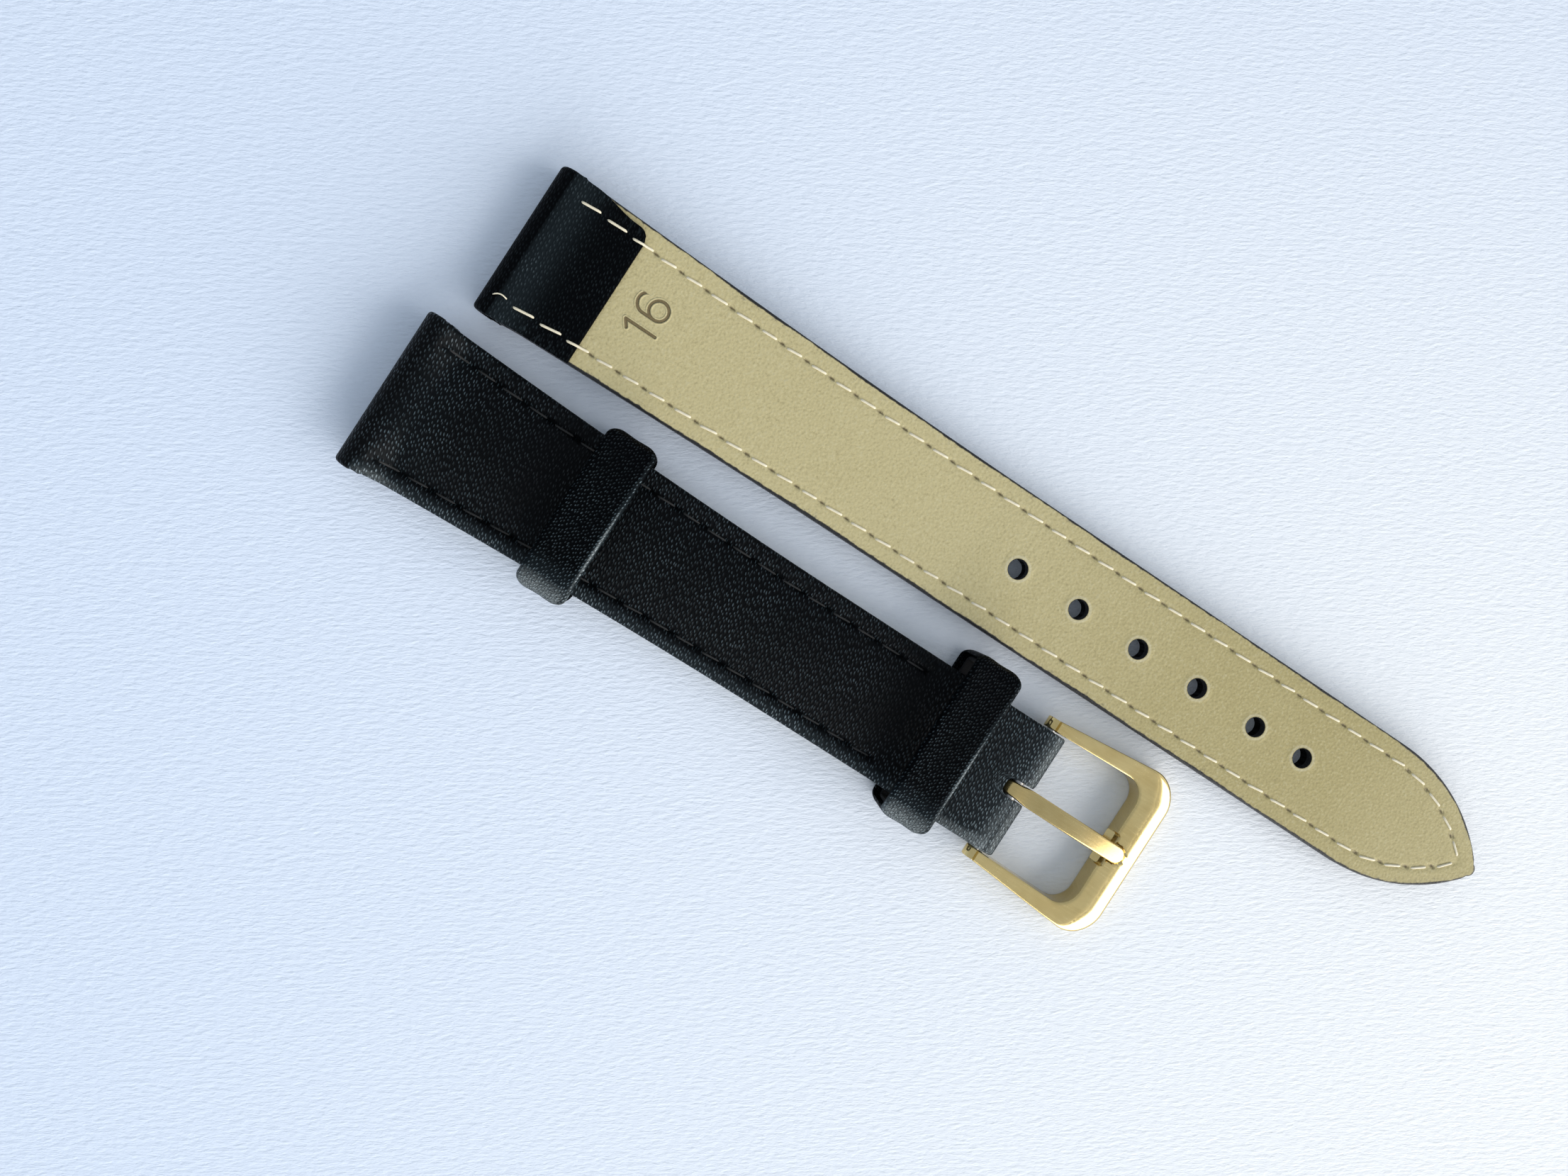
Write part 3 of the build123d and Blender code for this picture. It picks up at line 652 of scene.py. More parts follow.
@dataclass
class Sheet:
    """A cut of leather: a fine grid laid between an outer and an inner surface, and walled round its edges.

    place and facts take a grid line's row and column and whether the point is on the outer side, and keep takes the
    row and column of a cell's middle.
    """

    rows: int
    columns: int
    place: Callable[[int, int, bool], Vector]
    facts: Callable[[int, int, bool], Facts] = lambda row, column, out: {}
    keep: Callable[[float, float], bool] = lambda row, column: True

    def mesh(self) -> bmesh.types.BMesh:
        """The closed mesh, in millimetres."""
        bm = bmesh.new()
        row, column, raised = (bm.verts.layers.int.new(name) for name in ("row", "column", "raised"))
        layers = {name: bm.verts.layers.float.new(name) for name in self.facts(0, 0, True)}
        bmesh.ops.create_grid(bm, x_segments=self.rows, y_segments=self.columns, size=0.5)
        for vert in bm.verts:
            vert[row] = round((vert.co.x + 0.5) * self.rows)
            vert[column] = round((vert.co.y + 0.5) * self.columns)
        cut = [f for f in bm.faces if not self.keep(*(sum(v[k] for v in f.verts) / 4 for k in (row, column)))]
        bmesh.ops.delete(bm, geom=cut, context="FACES")
        for made in bmesh.ops.extrude_face_region(bm, geom=bm.faces[:], use_keep_orig=True)["geom"]:
            if isinstance(made, bmesh.types.BMVert):
                made[raised] = 1
        for vert in bm.verts:
            spot = (vert[row], vert[column], vert[raised] == 1)
            vert.co = self.place(*spot)
            for name, value in self.facts(*spot).items():
                vert[layers[name]] = value
        bmesh.ops.remove_doubles(bm, verts=bm.verts[:], dist=1e-4)
        return bm


# ---- The halves


EDGE_STEPS = (
    0.0, 0.04, 0.1, 0.18, 0.28, 0.4, 0.55, 0.75, 0.98, 1.2, 1.38, 1.54, 1.7, 1.85, 2.0, 2.16, 2.34, 2.56, 2.85,
)
MID_CELLS = 9
BAND_CELLS = 8


@dataclass
class HalfShape:
    """Sizes of one half in millimetres, drawn grain side up from its lug end at X = 0."""

    lug_width: float
    tail_width: float
    pad_tail: float
    pad_stop: float
    seam_stop: float
    level_share: float = 0.0
    flare_run: float = 46.0
    flare_power: float = 1.8
    fill: float = 0.92
    leather: float = 1.05
    lining: float = 0.9
    flap: float = 0.4
    flap_length: float = 10.3
    pad_lug: float = 1.55
    pinch: float = 0.12
    pinch_end: float = 4.8
    nub: float = 0.06
    nub_end: float = 2.7
    nub_tip: float = 0.1
    crown: float = 0.12
    margin: float = 2.3
    ridge: float = 0.06
    ridge_inset: float = 0.95
    groove: float = 0.36
    groove_width: float = 0.24
    pucker: float = 0.1
    pucker_width: float = 0.6
    lining_groove: float = 0.07
    seam_inset: float = 1.85
    seam_start: float = 3.1
    pitch: float = 2.85
    tunnel: float = 0.9
    edge_round: float = 0.5
    lining_round: float = 0.16
    band: float = 1.0
    full_half: float = 6.6

    @property
    def nose(self) -> float:
        """Radius of the rolled lug end."""
        return (self.leather + self.pad_lug + self.lining + self.flap) / 2

    @property
    def tail_half(self) -> float:
        """Half the width past the flare."""
        return self.tail_width / 2

    @property
    def nose_z(self) -> float:
        """Height of the tunnel's axis above the glue line."""
        return self.leather + self.pad_lug - self.nose

    def half_width(self, x: float) -> float:
        """Half the width."""
        flare = max(0.0, 1 - x / self.flare_run) ** self.flare_power
        nub = self.nub * (1 - smooth(self.nub_end - 0.1, self.nub_end + 0.15, x))
        nub += self.nub_tip * hump(x, self.nub_end, 0.14)
        return (self.tail_width + (self.lug_width - self.tail_width) * flare) / 2 + nub

    def edge_distance(self, x: float, y: float) -> float:
        """Distance from the cut edge."""
        return self.half_width(x) - abs(y)

    def pad(self, x: float) -> float:
        """Padding on the centreline."""
        share = min(max((x - self.pinch_end) / (self.pad_stop - self.pinch_end), 0.0), 1.0)
        return mix(self.pad_lug, self.pad_tail, share)

    def glue(self, x: float) -> float:
        """Height where leather and lining meet."""
        return self.level_share * (self.pad_lug - self.pad(x))

    def lift(self, x: float) -> float:
        """How far the margins are raised to the crown."""
        return 1 - smooth(self.nose + 0.2, self.pinch_end + 0.4, x)

    def rise(self, x: float) -> float:
        """Crown above the padding."""
        return self.crown * smooth(self.nose, self.nose + 2.5, x)

    def tunnel_half(self, x: float) -> float:
        """Half the height of the tunnel."""
        return math.sqrt(max(self.tunnel ** 2 - (x - self.nose) ** 2, 0.0))

    def seam(self, x: float, y: float, width: float) -> float:
        """How deep the seam's groove is here, from 0 to 1."""
        live = smooth(self.seam_start - 0.5, self.seam_start + 0.2, x)
        live *= 1 - smooth(self.seam_stop, self.seam_stop + 0.6, x)
        return live * hump(self.edge_distance(x, y), self.seam_inset, width)

    def top(self, x: float, y: float) -> float:
        """Height of the grain side."""
        edge = self.edge_distance(x, y)
        inner = max(self.half_width(x) - self.margin, 0.4)
        foot = self.glue(x) + self.leather + self.lift(x) * self.pad(x)
        peak = self.glue(x) + self.leather + self.pad(x) + self.rise(x)
        share = max(edge - self.margin, -1.0) / inner
        dome = 1 - (1 - share) ** 2 if share > 0 else 2 * share
        dome = (dome + math.sqrt(dome * dome + 0.012)) / 2
        z = foot + (peak - foot) * min(dome, 1.0)
        z += self.ridge * hump(edge, self.ridge_inset, 0.4) * (1 - self.lift(x))
        beat = math.cos(2 * math.pi * (x - self.seam_start) / self.pitch)
        groove = self.groove * self.seam(x, y, self.groove_width) * (0.86 + 0.14 * beat)
        z -= groove + self.pucker * self.seam(x, y, self.pucker_width) * (0.7 + 0.3 * beat)
        z -= self.pinch * hump(x, self.pinch_end - 0.3, 0.8) * smooth(0.6, 2.4, edge)
        return z - rounding(edge, self.edge_round)

    def bottom(self, x: float, y: float) -> float:
        """Height of the lining side."""
        z = self.glue(x) - self.lining + self.lining_groove * self.seam(x, y, 0.28)
        return z + rounding(self.edge_distance(x, y), self.lining_round)

    def rows(self, start: float, stop: float, cell: float, holes: Sequence[float] = ()) -> List[float]:
        """Places along the half where the grid has a line, even between the holes' edges."""
        knots = [start] + [hole + k * self.band for hole in holes for k in (-2, -1, 1, 2)] + [stop]
        places = [start]
        for low, high in zip(knots, knots[1:]):
            if high - low > 1e-6:
                count = max(1, round((high - low) / cell))
                places += [mix(low, high, (i + 1) / count) for i in range(count)]
        return places

    def columns(self) -> int:
        """Number of cells across."""
        return 2 * (len(EDGE_STEPS) - 1) + 2 * MID_CELLS + BAND_CELLS

    def across(self, column: int, w: float) -> float:
        """Y of a grid line, close-set at the edges and even in the middle.

        Args:
            column: The line's number.
            w: Half the width there.

        Returns:
            Y in millimetres.
        """
        half = self.columns() / 2
        side = 1.0 if column > half else -1.0
        count = half - abs(column - half)
        scale = min(1.0, w / self.full_half)
        edges = len(EDGE_STEPS) - 1
        if count <= edges:
            return side * (w - EDGE_STEPS[int(count)] * scale)
        if count <= edges + MID_CELLS:
            return side * mix(w - EDGE_STEPS[-1] * scale, self.band * scale, (count - edges) / MID_CELLS)
        return side * self.band * scale * (1 - (count - edges - MID_CELLS) / (BAND_CELLS / 2))

    @property
    def seam_length(self) -> float:
        """Length of the seam along one side."""
        return self.seam_stop - self.seam_start

    def seam_point(self, run: float, step: float) -> Point:
        """X, distance from the middle and angle of the seam.

        Args:
            run: Distance along it from its start.
            step: Length of a stitch.

        Returns:
            The three numbers.
        """
        x = self.seam_start + run
        rise = self.half_width(x + step / 2) - self.half_width(x - step / 2)
        return x, self.half_width(x) - self.seam_inset, math.atan2(rise, step)

    def stitch_places(self, side: int) -> List[Point]:
        """X, Y and angle of each stitch's middle along one side."""
        count = round(self.seam_length / self.pitch)
        step = self.seam_length / count
        points = [self.seam_point((i + 0.5) * step, step) for i in range(count)]
        return [(x, side * y, side * angle) for x, y, angle in points]

    def pricks(self) -> List[Pair]:
        """Where the needle goes through between two stitches, as X and distance from the middle."""
        places = self.stitch_places(1)
        return [((a[0] + b[0]) / 2, (a[1] + b[1]) / 2) for a, b in zip(places, places[1:])]


@dataclass
class PointedShape(HalfShape):
    """A half that ends in a rounded point."""

    tip_start: float = 101.4
    tip_length: float = 14.2
    tip_round: float = 0.8

    @property
    def tip_radius(self) -> float:
        """Radius of the point's two arcs."""
        half = self.tail_width / 2
        return (self.tip_length ** 2 + half ** 2) / (2 * half)

    @property
    def tip_side(self) -> float:
        """How far the arcs' centres lie past the centreline."""
        return self.tip_radius - self.tail_width / 2

    @property
    def round_x(self) -> float:
        """X of the centre of the point's rounding."""
        back = self.tip_radius - self.tip_round
        return self.tip_start + math.sqrt(back ** 2 - self.tip_side ** 2)

    @property
    def length(self) -> float:
        """Length of the half."""
        return self.round_x + self.tip_round

    def half_width(self, x: float) -> float:
        """Half the width."""
        if x <= self.tip_start:
            return super().half_width(x)
        along = x - self.tip_start
        w = math.sqrt(max(self.tip_radius ** 2 - along ** 2, 0.0)) - self.tip_side
        past = x - self.round_x
        if past > 0 and self.tip_round > past:
            w = min(w, math.sqrt(self.tip_round ** 2 - past ** 2))
        return max(w, 0.0) if x < self.length - 1e-4 else 0.0

    def edge_distance(self, x: float, y: float) -> float:
        """Distance from the cut edge."""
        if x <= self.tip_start:
            return super().edge_distance(x, y)
        away = self.tip_radius - math.hypot(x - self.tip_start, abs(y) + self.tip_side)
        if x > self.round_x:
            away = min(away, self.tip_round - math.hypot(x - self.round_x, y))
        return max(away, 0.0)

    def rows(self, start: float, stop: float, cell: float, holes: Sequence[float] = ()) -> List[float]:
        """Places along the half where the grid has a line, closing in on the rounded point."""
        places = super().rows(start, stop, cell, holes)
        if stop < self.length:
            return places
        angles = [math.radians(a) for a in (0, 20, 38, 52, 62, 70, 77, 83, 90)]
        point = [self.round_x + self.tip_round * math.sin(angle) for angle in angles]
        return [x for x in places if x < self.round_x] + point

    @property
    def seam_radius(self) -> float:
        """Radius of the seam's two arcs round the point."""
        return self.tip_radius - self.seam_inset

    @property
    def seam_length(self) -> float:
        """Length of the seam along one side, round to the point."""
        turn = math.acos(self.tip_side / self.seam_radius)
        return self.tip_start - self.seam_start + self.seam_radius * turn

    def seam_point(self, run: float, step: float) -> Point:
        """X, distance from the middle and angle of the seam, as in HalfShape."""
        past = run - (self.tip_start - self.seam_start)
        if past <= 0:
            return super().seam_point(run, step)
        angle = -past / self.seam_radius
        x = self.tip_start - self.seam_radius * math.sin(angle)
        return x, self.seam_radius * math.cos(angle) - self.tip_side, angle


class Zone(Enum):
    """Stretches of the grain leather along its length."""

    FLAP = "flap"
    NOSE = "nose"
    TOP = "top"
    FOLD = "fold"
    RETURN = "return"


@dataclass(frozen=True)
class Station:
    """A grid line of the grain leather: its zone, and its X, angle or share there."""

    zone: Zone
    at: float


def arc(x: float, y: float, z: float, radius: float, angle: float) -> Vector:
    """A point at an angle in degrees on a circle round an axis along Y through X and Z."""
    turn = math.radians(angle)
    return Vector((x + radius * math.cos(turn), y, z + radius * math.sin(turn)))


@dataclass
class StrapHalf:
    """One half of the strap, and how it lies."""

    name: str
    body: str
    shape: HalfShape
    origin: Vector
    turned: bool = False
    skin: Finish = Finish.GRAIN
    back: Finish = Finish.LINING_SHORT
    flap_side: int = 1
    flap_inset: float = 0.65
    flap_corner: float = 1.1
    nose_round: float = 0.4
    cell: float = 0.26
    nose_cells: int = 23
    holes: Tuple[float, ...] = ()
    hole_radius: float = 1.02
    seams: Tuple[Tuple[str, Tuple[int, ...]], ...] = ()
    prick_run: float = 0.55
    prick_half: float = 0.21
    stitch_half: float = 1.24
    sunk_half: float = 0.98
    thread_shares: Tuple[float, ...] = (-1.0, -0.88, -0.68, -0.34, 0.0, 0.34, 0.68, 0.88, 1.0)
    thread_dip: float = 0.36
    top_radius: float = 0.13
    top_slant: float = 0.05
    top_sink: float = 0.005
    lining_radius: float = 0.125
    lining_slant: float = -0.09
    lining_rise: float = 0.045

    def lay(self, x: float, y: float, z: float) -> Vector:
        """A point of the half, in the row frame, in millimetres."""
        side = -1 if self.turned else 1
        return self.origin + Vector((x, side * y, side * z))

    # Grain leather

    def stations(self) -> List[Station]:
        """Grid lines of the grain leather, from the flap's edge round the nose and along the top."""
        shape, cells = self.shape, self.nose_cells
        flap = [Station(Zone.FLAP, x) for x in reversed(shape.rows(shape.nose, shape.flap_length, self.cell))]
        nose = [Station(Zone.NOSE, mix(270.0, 90.0, i / cells)) for i in range(1, cells)]
        return flap + nose + self.top_stations()

    def top_stations(self) -> List[Station]:
        """Grid lines from the nose to the tail."""
        raise NotImplementedError

    def outer(self, station: Station, y: float) -> Vector:
        """A point of the grain side."""
        shape = self.shape
        if station.zone is Zone.FLAP:
            return Vector((station.at, y, self.flap_surface(station.at, y)))
        if station.zone is Zone.NOSE:
            radius = shape.nose - rounding(shape.edge_distance(0.0, y), self.nose_round)
            return arc(shape.nose, y, shape.nose_z, radius, station.at)
        return Vector((station.at, y, shape.top(station.at, y)))

    def flap_surface(self, x: float, y: float) -> float:
        """Height of the flap's grain side."""
        shape = self.shape
        low = shape.glue(x) - shape.lining - shape.flap
        low += 0.13 * shape.seam(x, y, shape.groove_width)
        return low + rounding(min(shape.edge_distance(x, y), shape.flap_length - x + 0.05), 0.22)

    def inner(self, station: Station, y: float) -> Vector:
        """A point of the flesh side."""
        shape, x = self.shape, station.at
        if station.zone is Zone.NOSE:
            return arc(shape.nose, y, shape.nose_z, shape.tunnel, x)
        past = shape.nose + 0.45
        if station.zone is Zone.TOP:
            flesh = shape.glue(x) + self.hollow(x, y)
            return Vector((x, y, mix(shape.nose_z + shape.tunnel_half(x), flesh, smooth(past, past + 0.75, x))))
        if x > shape.nose * 2 + 0.05:
            return Vector((x, y, shape.glue(x) - shape.lining))
        return Vector((x, y, mix(shape.nose_z - shape.tunnel_half(x), 0.0, smooth(past, past + 0.55, x)) - 0.01))

    def hollow(self, x: float, y: float) -> float:
        """Height of the padding under the grain leather."""
        shape = self.shape
        inner = shape.half_width(x) - shape.margin
        share = min(abs(y) / inner, 1.0) if inner > 0 else 1.0
        live = smooth(shape.pinch_end - 0.5, shape.pinch_end + 0.3, x)
        live *= 1 - smooth(shape.pad_stop - 0.5, shape.pad_stop, x)
        return shape.fill * shape.pad(x) * (1 - share * share) * live

    def warp(self, x: float, y: float) -> Pair:
        """Moves grid points to the edges of cut-outs; none here."""
        return x, y

    def flap_cut(self, x: float, y: float) -> float:
        """The flap is cut back a little along one side, with a rounded corner."""
        shape = self.shape
        inset = self.flap_inset * smooth(shape.nose * 2, shape.flap_length - 1.5, x)
        past = x - (shape.flap_length - self.flap_corner)
        if past > 0:
            inset += self.flap_corner - math.sqrt(max(self.flap_corner ** 2 - past * past, 0.0))
        return y - self.flap_side * inset * smooth(0.45, 1.0, y * self.flap_side / shape.half_width(x))

    def station_width(self, station: Station) -> float:
        """Half the width at a station."""
        if station.zone in (Zone.FOLD, Zone.RETURN):
            return self.shape.tail_half
        return self.shape.half_width(0.0 if station.zone is Zone.NOSE else station.at)

    def wear_and_painted_light(self, station: Station, y: float) -> float:
        """Painted light on the leather, from 0 to 1: a painted highlight where the flap curves away from the nose.
        """
        return 0.5 * hump(station.at, 3.1, 1.9) if station.zone is Zone.FLAP else 0.0

    def keep(self, stations: Sequence[Station]) -> Callable[[float, float], bool]:
        """Which cells the leather has; all of them here."""
        return lambda row, column: True

    def grain(self, node: str) -> None:
        """Makes the grain leather for a CAD node."""
        stations = self.stations()
        points = [self.outer(station, 0.0) for station in stations]
        runs = [0.0]
        for last, ahead in zip(points, points[1:]):
            runs.append(runs[-1] + (ahead - last).length)

        def put(row: int, column: int, out: bool) -> Vector:
            """The point of one grid crossing."""
            station = stations[row]
            y = self.shape.across(column, self.station_width(station))
            if station.zone is Zone.TOP:
                x, y = self.warp(station.at, y)
                station = Station(Zone.TOP, x)
            if station.zone is Zone.FLAP:
                y = self.flap_cut(station.at, y)
            return self.lay(*(self.outer if out else self.inner)(station, y))

        def facts(row: int, column: int, out: bool) -> Facts:
            """Arc length u, place across v, distance from the edge, and rubbing with painted light and shade at one
            grid crossing.
            """
            station = stations[row]
            width = self.station_width(station)
            y = self.shape.across(column, width)
            return {"u": runs[row], "v": y, "edge": width - abs(y), "worn_and_lit": self.wear_and_painted_light(station, y)}

        sheet = Sheet(len(stations) - 1, self.shape.columns(), put, facts, self.keep(stations))
        finish_mesh(node + "_grain", sheet.mesh(), self.skin, self.body, [node], "black_leather")

    def pad(self, node: str) -> None:
        """Makes the padding for a CAD node, a thin crowned pad."""
        shape = self.shape
        rows = shape.rows(shape.pinch_end, shape.pad_stop, 1.6)
        count = 16

        def put(row: int, column: int, out: bool) -> Vector:
            """The point of one grid crossing, on the pad's top where it is an outer one."""
            x = rows[row]
            y = (shape.half_width(x) - shape.margin - 0.15) * (2 * column / count - 1)
            return self.lay(x, y, shape.glue(x) + 0.03 + (0.85 * self.hollow(x, y) if out else 0.0))

        mesh = Sheet(len(rows) - 1, count, put).mesh()
        piece = finish_mesh(node + "_felt", mesh, Finish.PAD, self.body, [node], "pad")

    # Lining

    @property
    def lining_stop(self) -> float:
        """X where the lining ends."""
        raise NotImplementedError

    def lining(self, node: str) -> None:
        """Makes the lining for a CAD node."""
        shape = self.shape
        pricks = shape.pricks()
        rows = shape.rows(2 * shape.nose + 0.1, self.lining_stop, self.cell, self.holes)

        def spot(row: int, column: int) -> Pair:
            """X and Y of one grid crossing."""
            return self.warp(rows[row], shape.across(column, shape.half_width(rows[row])))

        def put(row: int, column: int, out: bool) -> Vector:
            """The point of one grid crossing, on the lining's face where it is an outer one."""
            x, y = spot(row, column)
            return self.lay(x, y, shape.bottom(x, y) - self.rim(x, y) if out else shape.glue(x))

        def facts(row: int, column: int, out: bool) -> Facts:
            """Distances from the cut edge and the nearest hole, and how near the needle came."""
            x, y = spot(row, column)
            index = bisect.bisect(pricks, (x, 0.0))
            hits = pricks[max(index - 2, 0) : index + 2]
            gaps = (math.hypot((x - px) / self.prick_run, (abs(y) - py) / self.prick_half) for px, py in hits)
            prick = 1 - smooth(0.15, 1.0, min(gaps, default=9.0))
            return {"edge": shape.edge_distance(x, y), "rim": min(self.hole_gap(x, y), 1.0), "prick": prick}

        keep = self.keep([Station(Zone.TOP, x) for x in rows])
        mesh = Sheet(len(rows) - 1, shape.columns(), put, facts, keep).mesh()
        finish_mesh(node + "_sheet", mesh, self.back, self.body, [node], "lining_leather")

    def hole_gap(self, x: float, y: float) -> float:
        """Distance from the edge of the nearest punched hole."""
        return min((math.hypot(x - hole, y) for hole in self.holes), default=9.0) - self.hole_radius

    def rim(self, x: float, y: float) -> float:
        """Height of the rim that the punch leaves on the lining round a hole."""
        return 0.09 * hump(self.hole_gap(x, y), 0.16, 0.16)

    # Stitches

    def stitches(self, node: str, sides: Sequence[int], under: bool) -> None:
        """Makes the stitches of one seam face.

        Args:
            node: Its CAD node.
            sides: The sides that the seam runs along, 1 or -1.
            under: Whether they lie on the lining side.
        """
        rng = random.Random(node)
        bm = bmesh.new()
        for side in sides:
            for x, y, angle in self.shape.stitch_places(side):
                sunk = under and x > self.shape.flap_length + 0.4
                half = (self.sunk_half if sunk else self.stitch_half) + rng.uniform(-0.08, 0.06)
                slant = (self.lining_slant if under else self.top_slant) + rng.uniform(-0.035, 0.035)
                run, rise = half * math.cos(angle + slant), half * math.sin(angle + slant)
                spots = [(x + run * share, y + rise * share, share) for share in self.thread_shares]
                radius = self.lining_radius if under else self.top_radius
                tube(bm, [self.thread_point(*spot, under) for spot in spots], radius)
        finish, slot = (Finish.CREAM, "cream_thread") if under else (Finish.BLACK, "black_thread")
        finish_mesh(node + "_stitches", bm, finish, self.body, [node], slot, 90.0)

    def thread_point(self, x: float, y: float, share: float, under: bool) -> Vector:
        """A point of a stitch's centreline.

        Args:
            x: Its X.
            y: Its Y.
            share: Its place on the stitch, -1 to 1; the ends dip into the leather.
            under: Whether it is on the lining side.

        Returns:
            The point.
        """
        dip = self.thread_dip * smooth(0.66, 1.08, abs(share)) ** 1.4
        if not under:
            return self.lay(x, y, self.shape.top(x, y) - self.top_sink - dip)
        surface = self.flap_surface if x < self.shape.flap_length else self.shape.bottom
        return self.lay(x, y, surface(x, y) - self.lining_rise + dip)

    def build(self) -> None:
        """Makes the half's pieces."""
        self.pad(self.name + "_filler")
        self.grain(self.name + "_top_leather")
        self.lining(self.name + "_lining")
        for seam, sides in self.seams:
            self.stitches("%s_%s_top_thread" % (self.name, seam), sides, False)
            self.stitches("%s_%s_lining_thread" % (self.name, seam), sides, True)


@dataclass
class LongHalf(StrapHalf):
    """The half with the adjusting holes, which lies grain side down."""

    shape: PointedShape
    turned: bool = True
    skin: Finish = Finish.FLAP
    back: Finish = Finish.LINING_LONG
    flap_side: int = -1
    holes: Tuple[float, ...] = (57.3, 64.66, 72.02, 79.38, 86.74, 92.74)
    seams: Tuple[Tuple[str, Tuple[int, ...]], ...] = (("seam", (1, -1)),)

    @property
    def lining_stop(self) -> float:
        """X where the lining ends."""
        return self.shape.length

    def top_stations(self) -> List[Station]:
        """Grid lines from the nose to the point."""
        rows = self.shape.rows(self.shape.nose, self.shape.length, self.cell, self.holes)
        return [Station(Zone.TOP, x) for x in rows]

    def warp(self, x: float, y: float) -> Pair:
        """Bends the grid's squares to circles round the holes."""
        band = self.shape.band
        for hole in self.holes:
            dx = x - hole
            reach = max(abs(dx), abs(y))
            if 1e-6 < reach < 2 * band - 1e-6:
                share = min(max((2 * band - reach) / band, 0.0), 1.0)
                scale = mix(1.0, self.hole_radius / band * reach / math.hypot(dx, y), share)
                return hole + dx * scale, y * scale
        return x, y

    def keep(self, stations: Sequence[Station]) -> Callable[[float, float], bool]:
        """Leaves the holes open."""
        centre = self.shape.columns() / 2

        def kept(row: float, column: float) -> bool:
            """Whether a cell lies outside the holes."""
            station, ahead = stations[int(row)], stations[int(row) + 1]
            if station.zone is not Zone.TOP or abs(column - centre) > BAND_CELLS / 2:
                return True
            x = (station.at + ahead.at) / 2
            return all(abs(x - hole) > self.shape.band for hole in self.holes)

        return kept

    def loose_end(self, node: str) -> None:
        """Makes the curled end of the bobbin thread at the seam's start, a piece beside a CAD node's."""
        bm = bmesh.new()
        path = [
            (2.75, 5.62, -1.05), (2.62, 5.6, -1.3), (2.45, 5.56, -1.42), (2.2, 5.52, -1.46), (1.95, 5.54, -1.46),
            (1.7, 5.64, -1.42), (1.5, 5.78, -1.36), (1.34, 5.94, -1.3),
        ]
        tube(bm, [self.lay(*p) for p in path], 0.065)
        finish_mesh(node + "_loose_end", bm, Finish.CREAM, self.body, [], "cream_thread", 90.0)

    def build(self) -> None:
        """Makes the half's pieces and the loose end."""
        super().build()
        self.loose_end("long_seam_lining_thread")


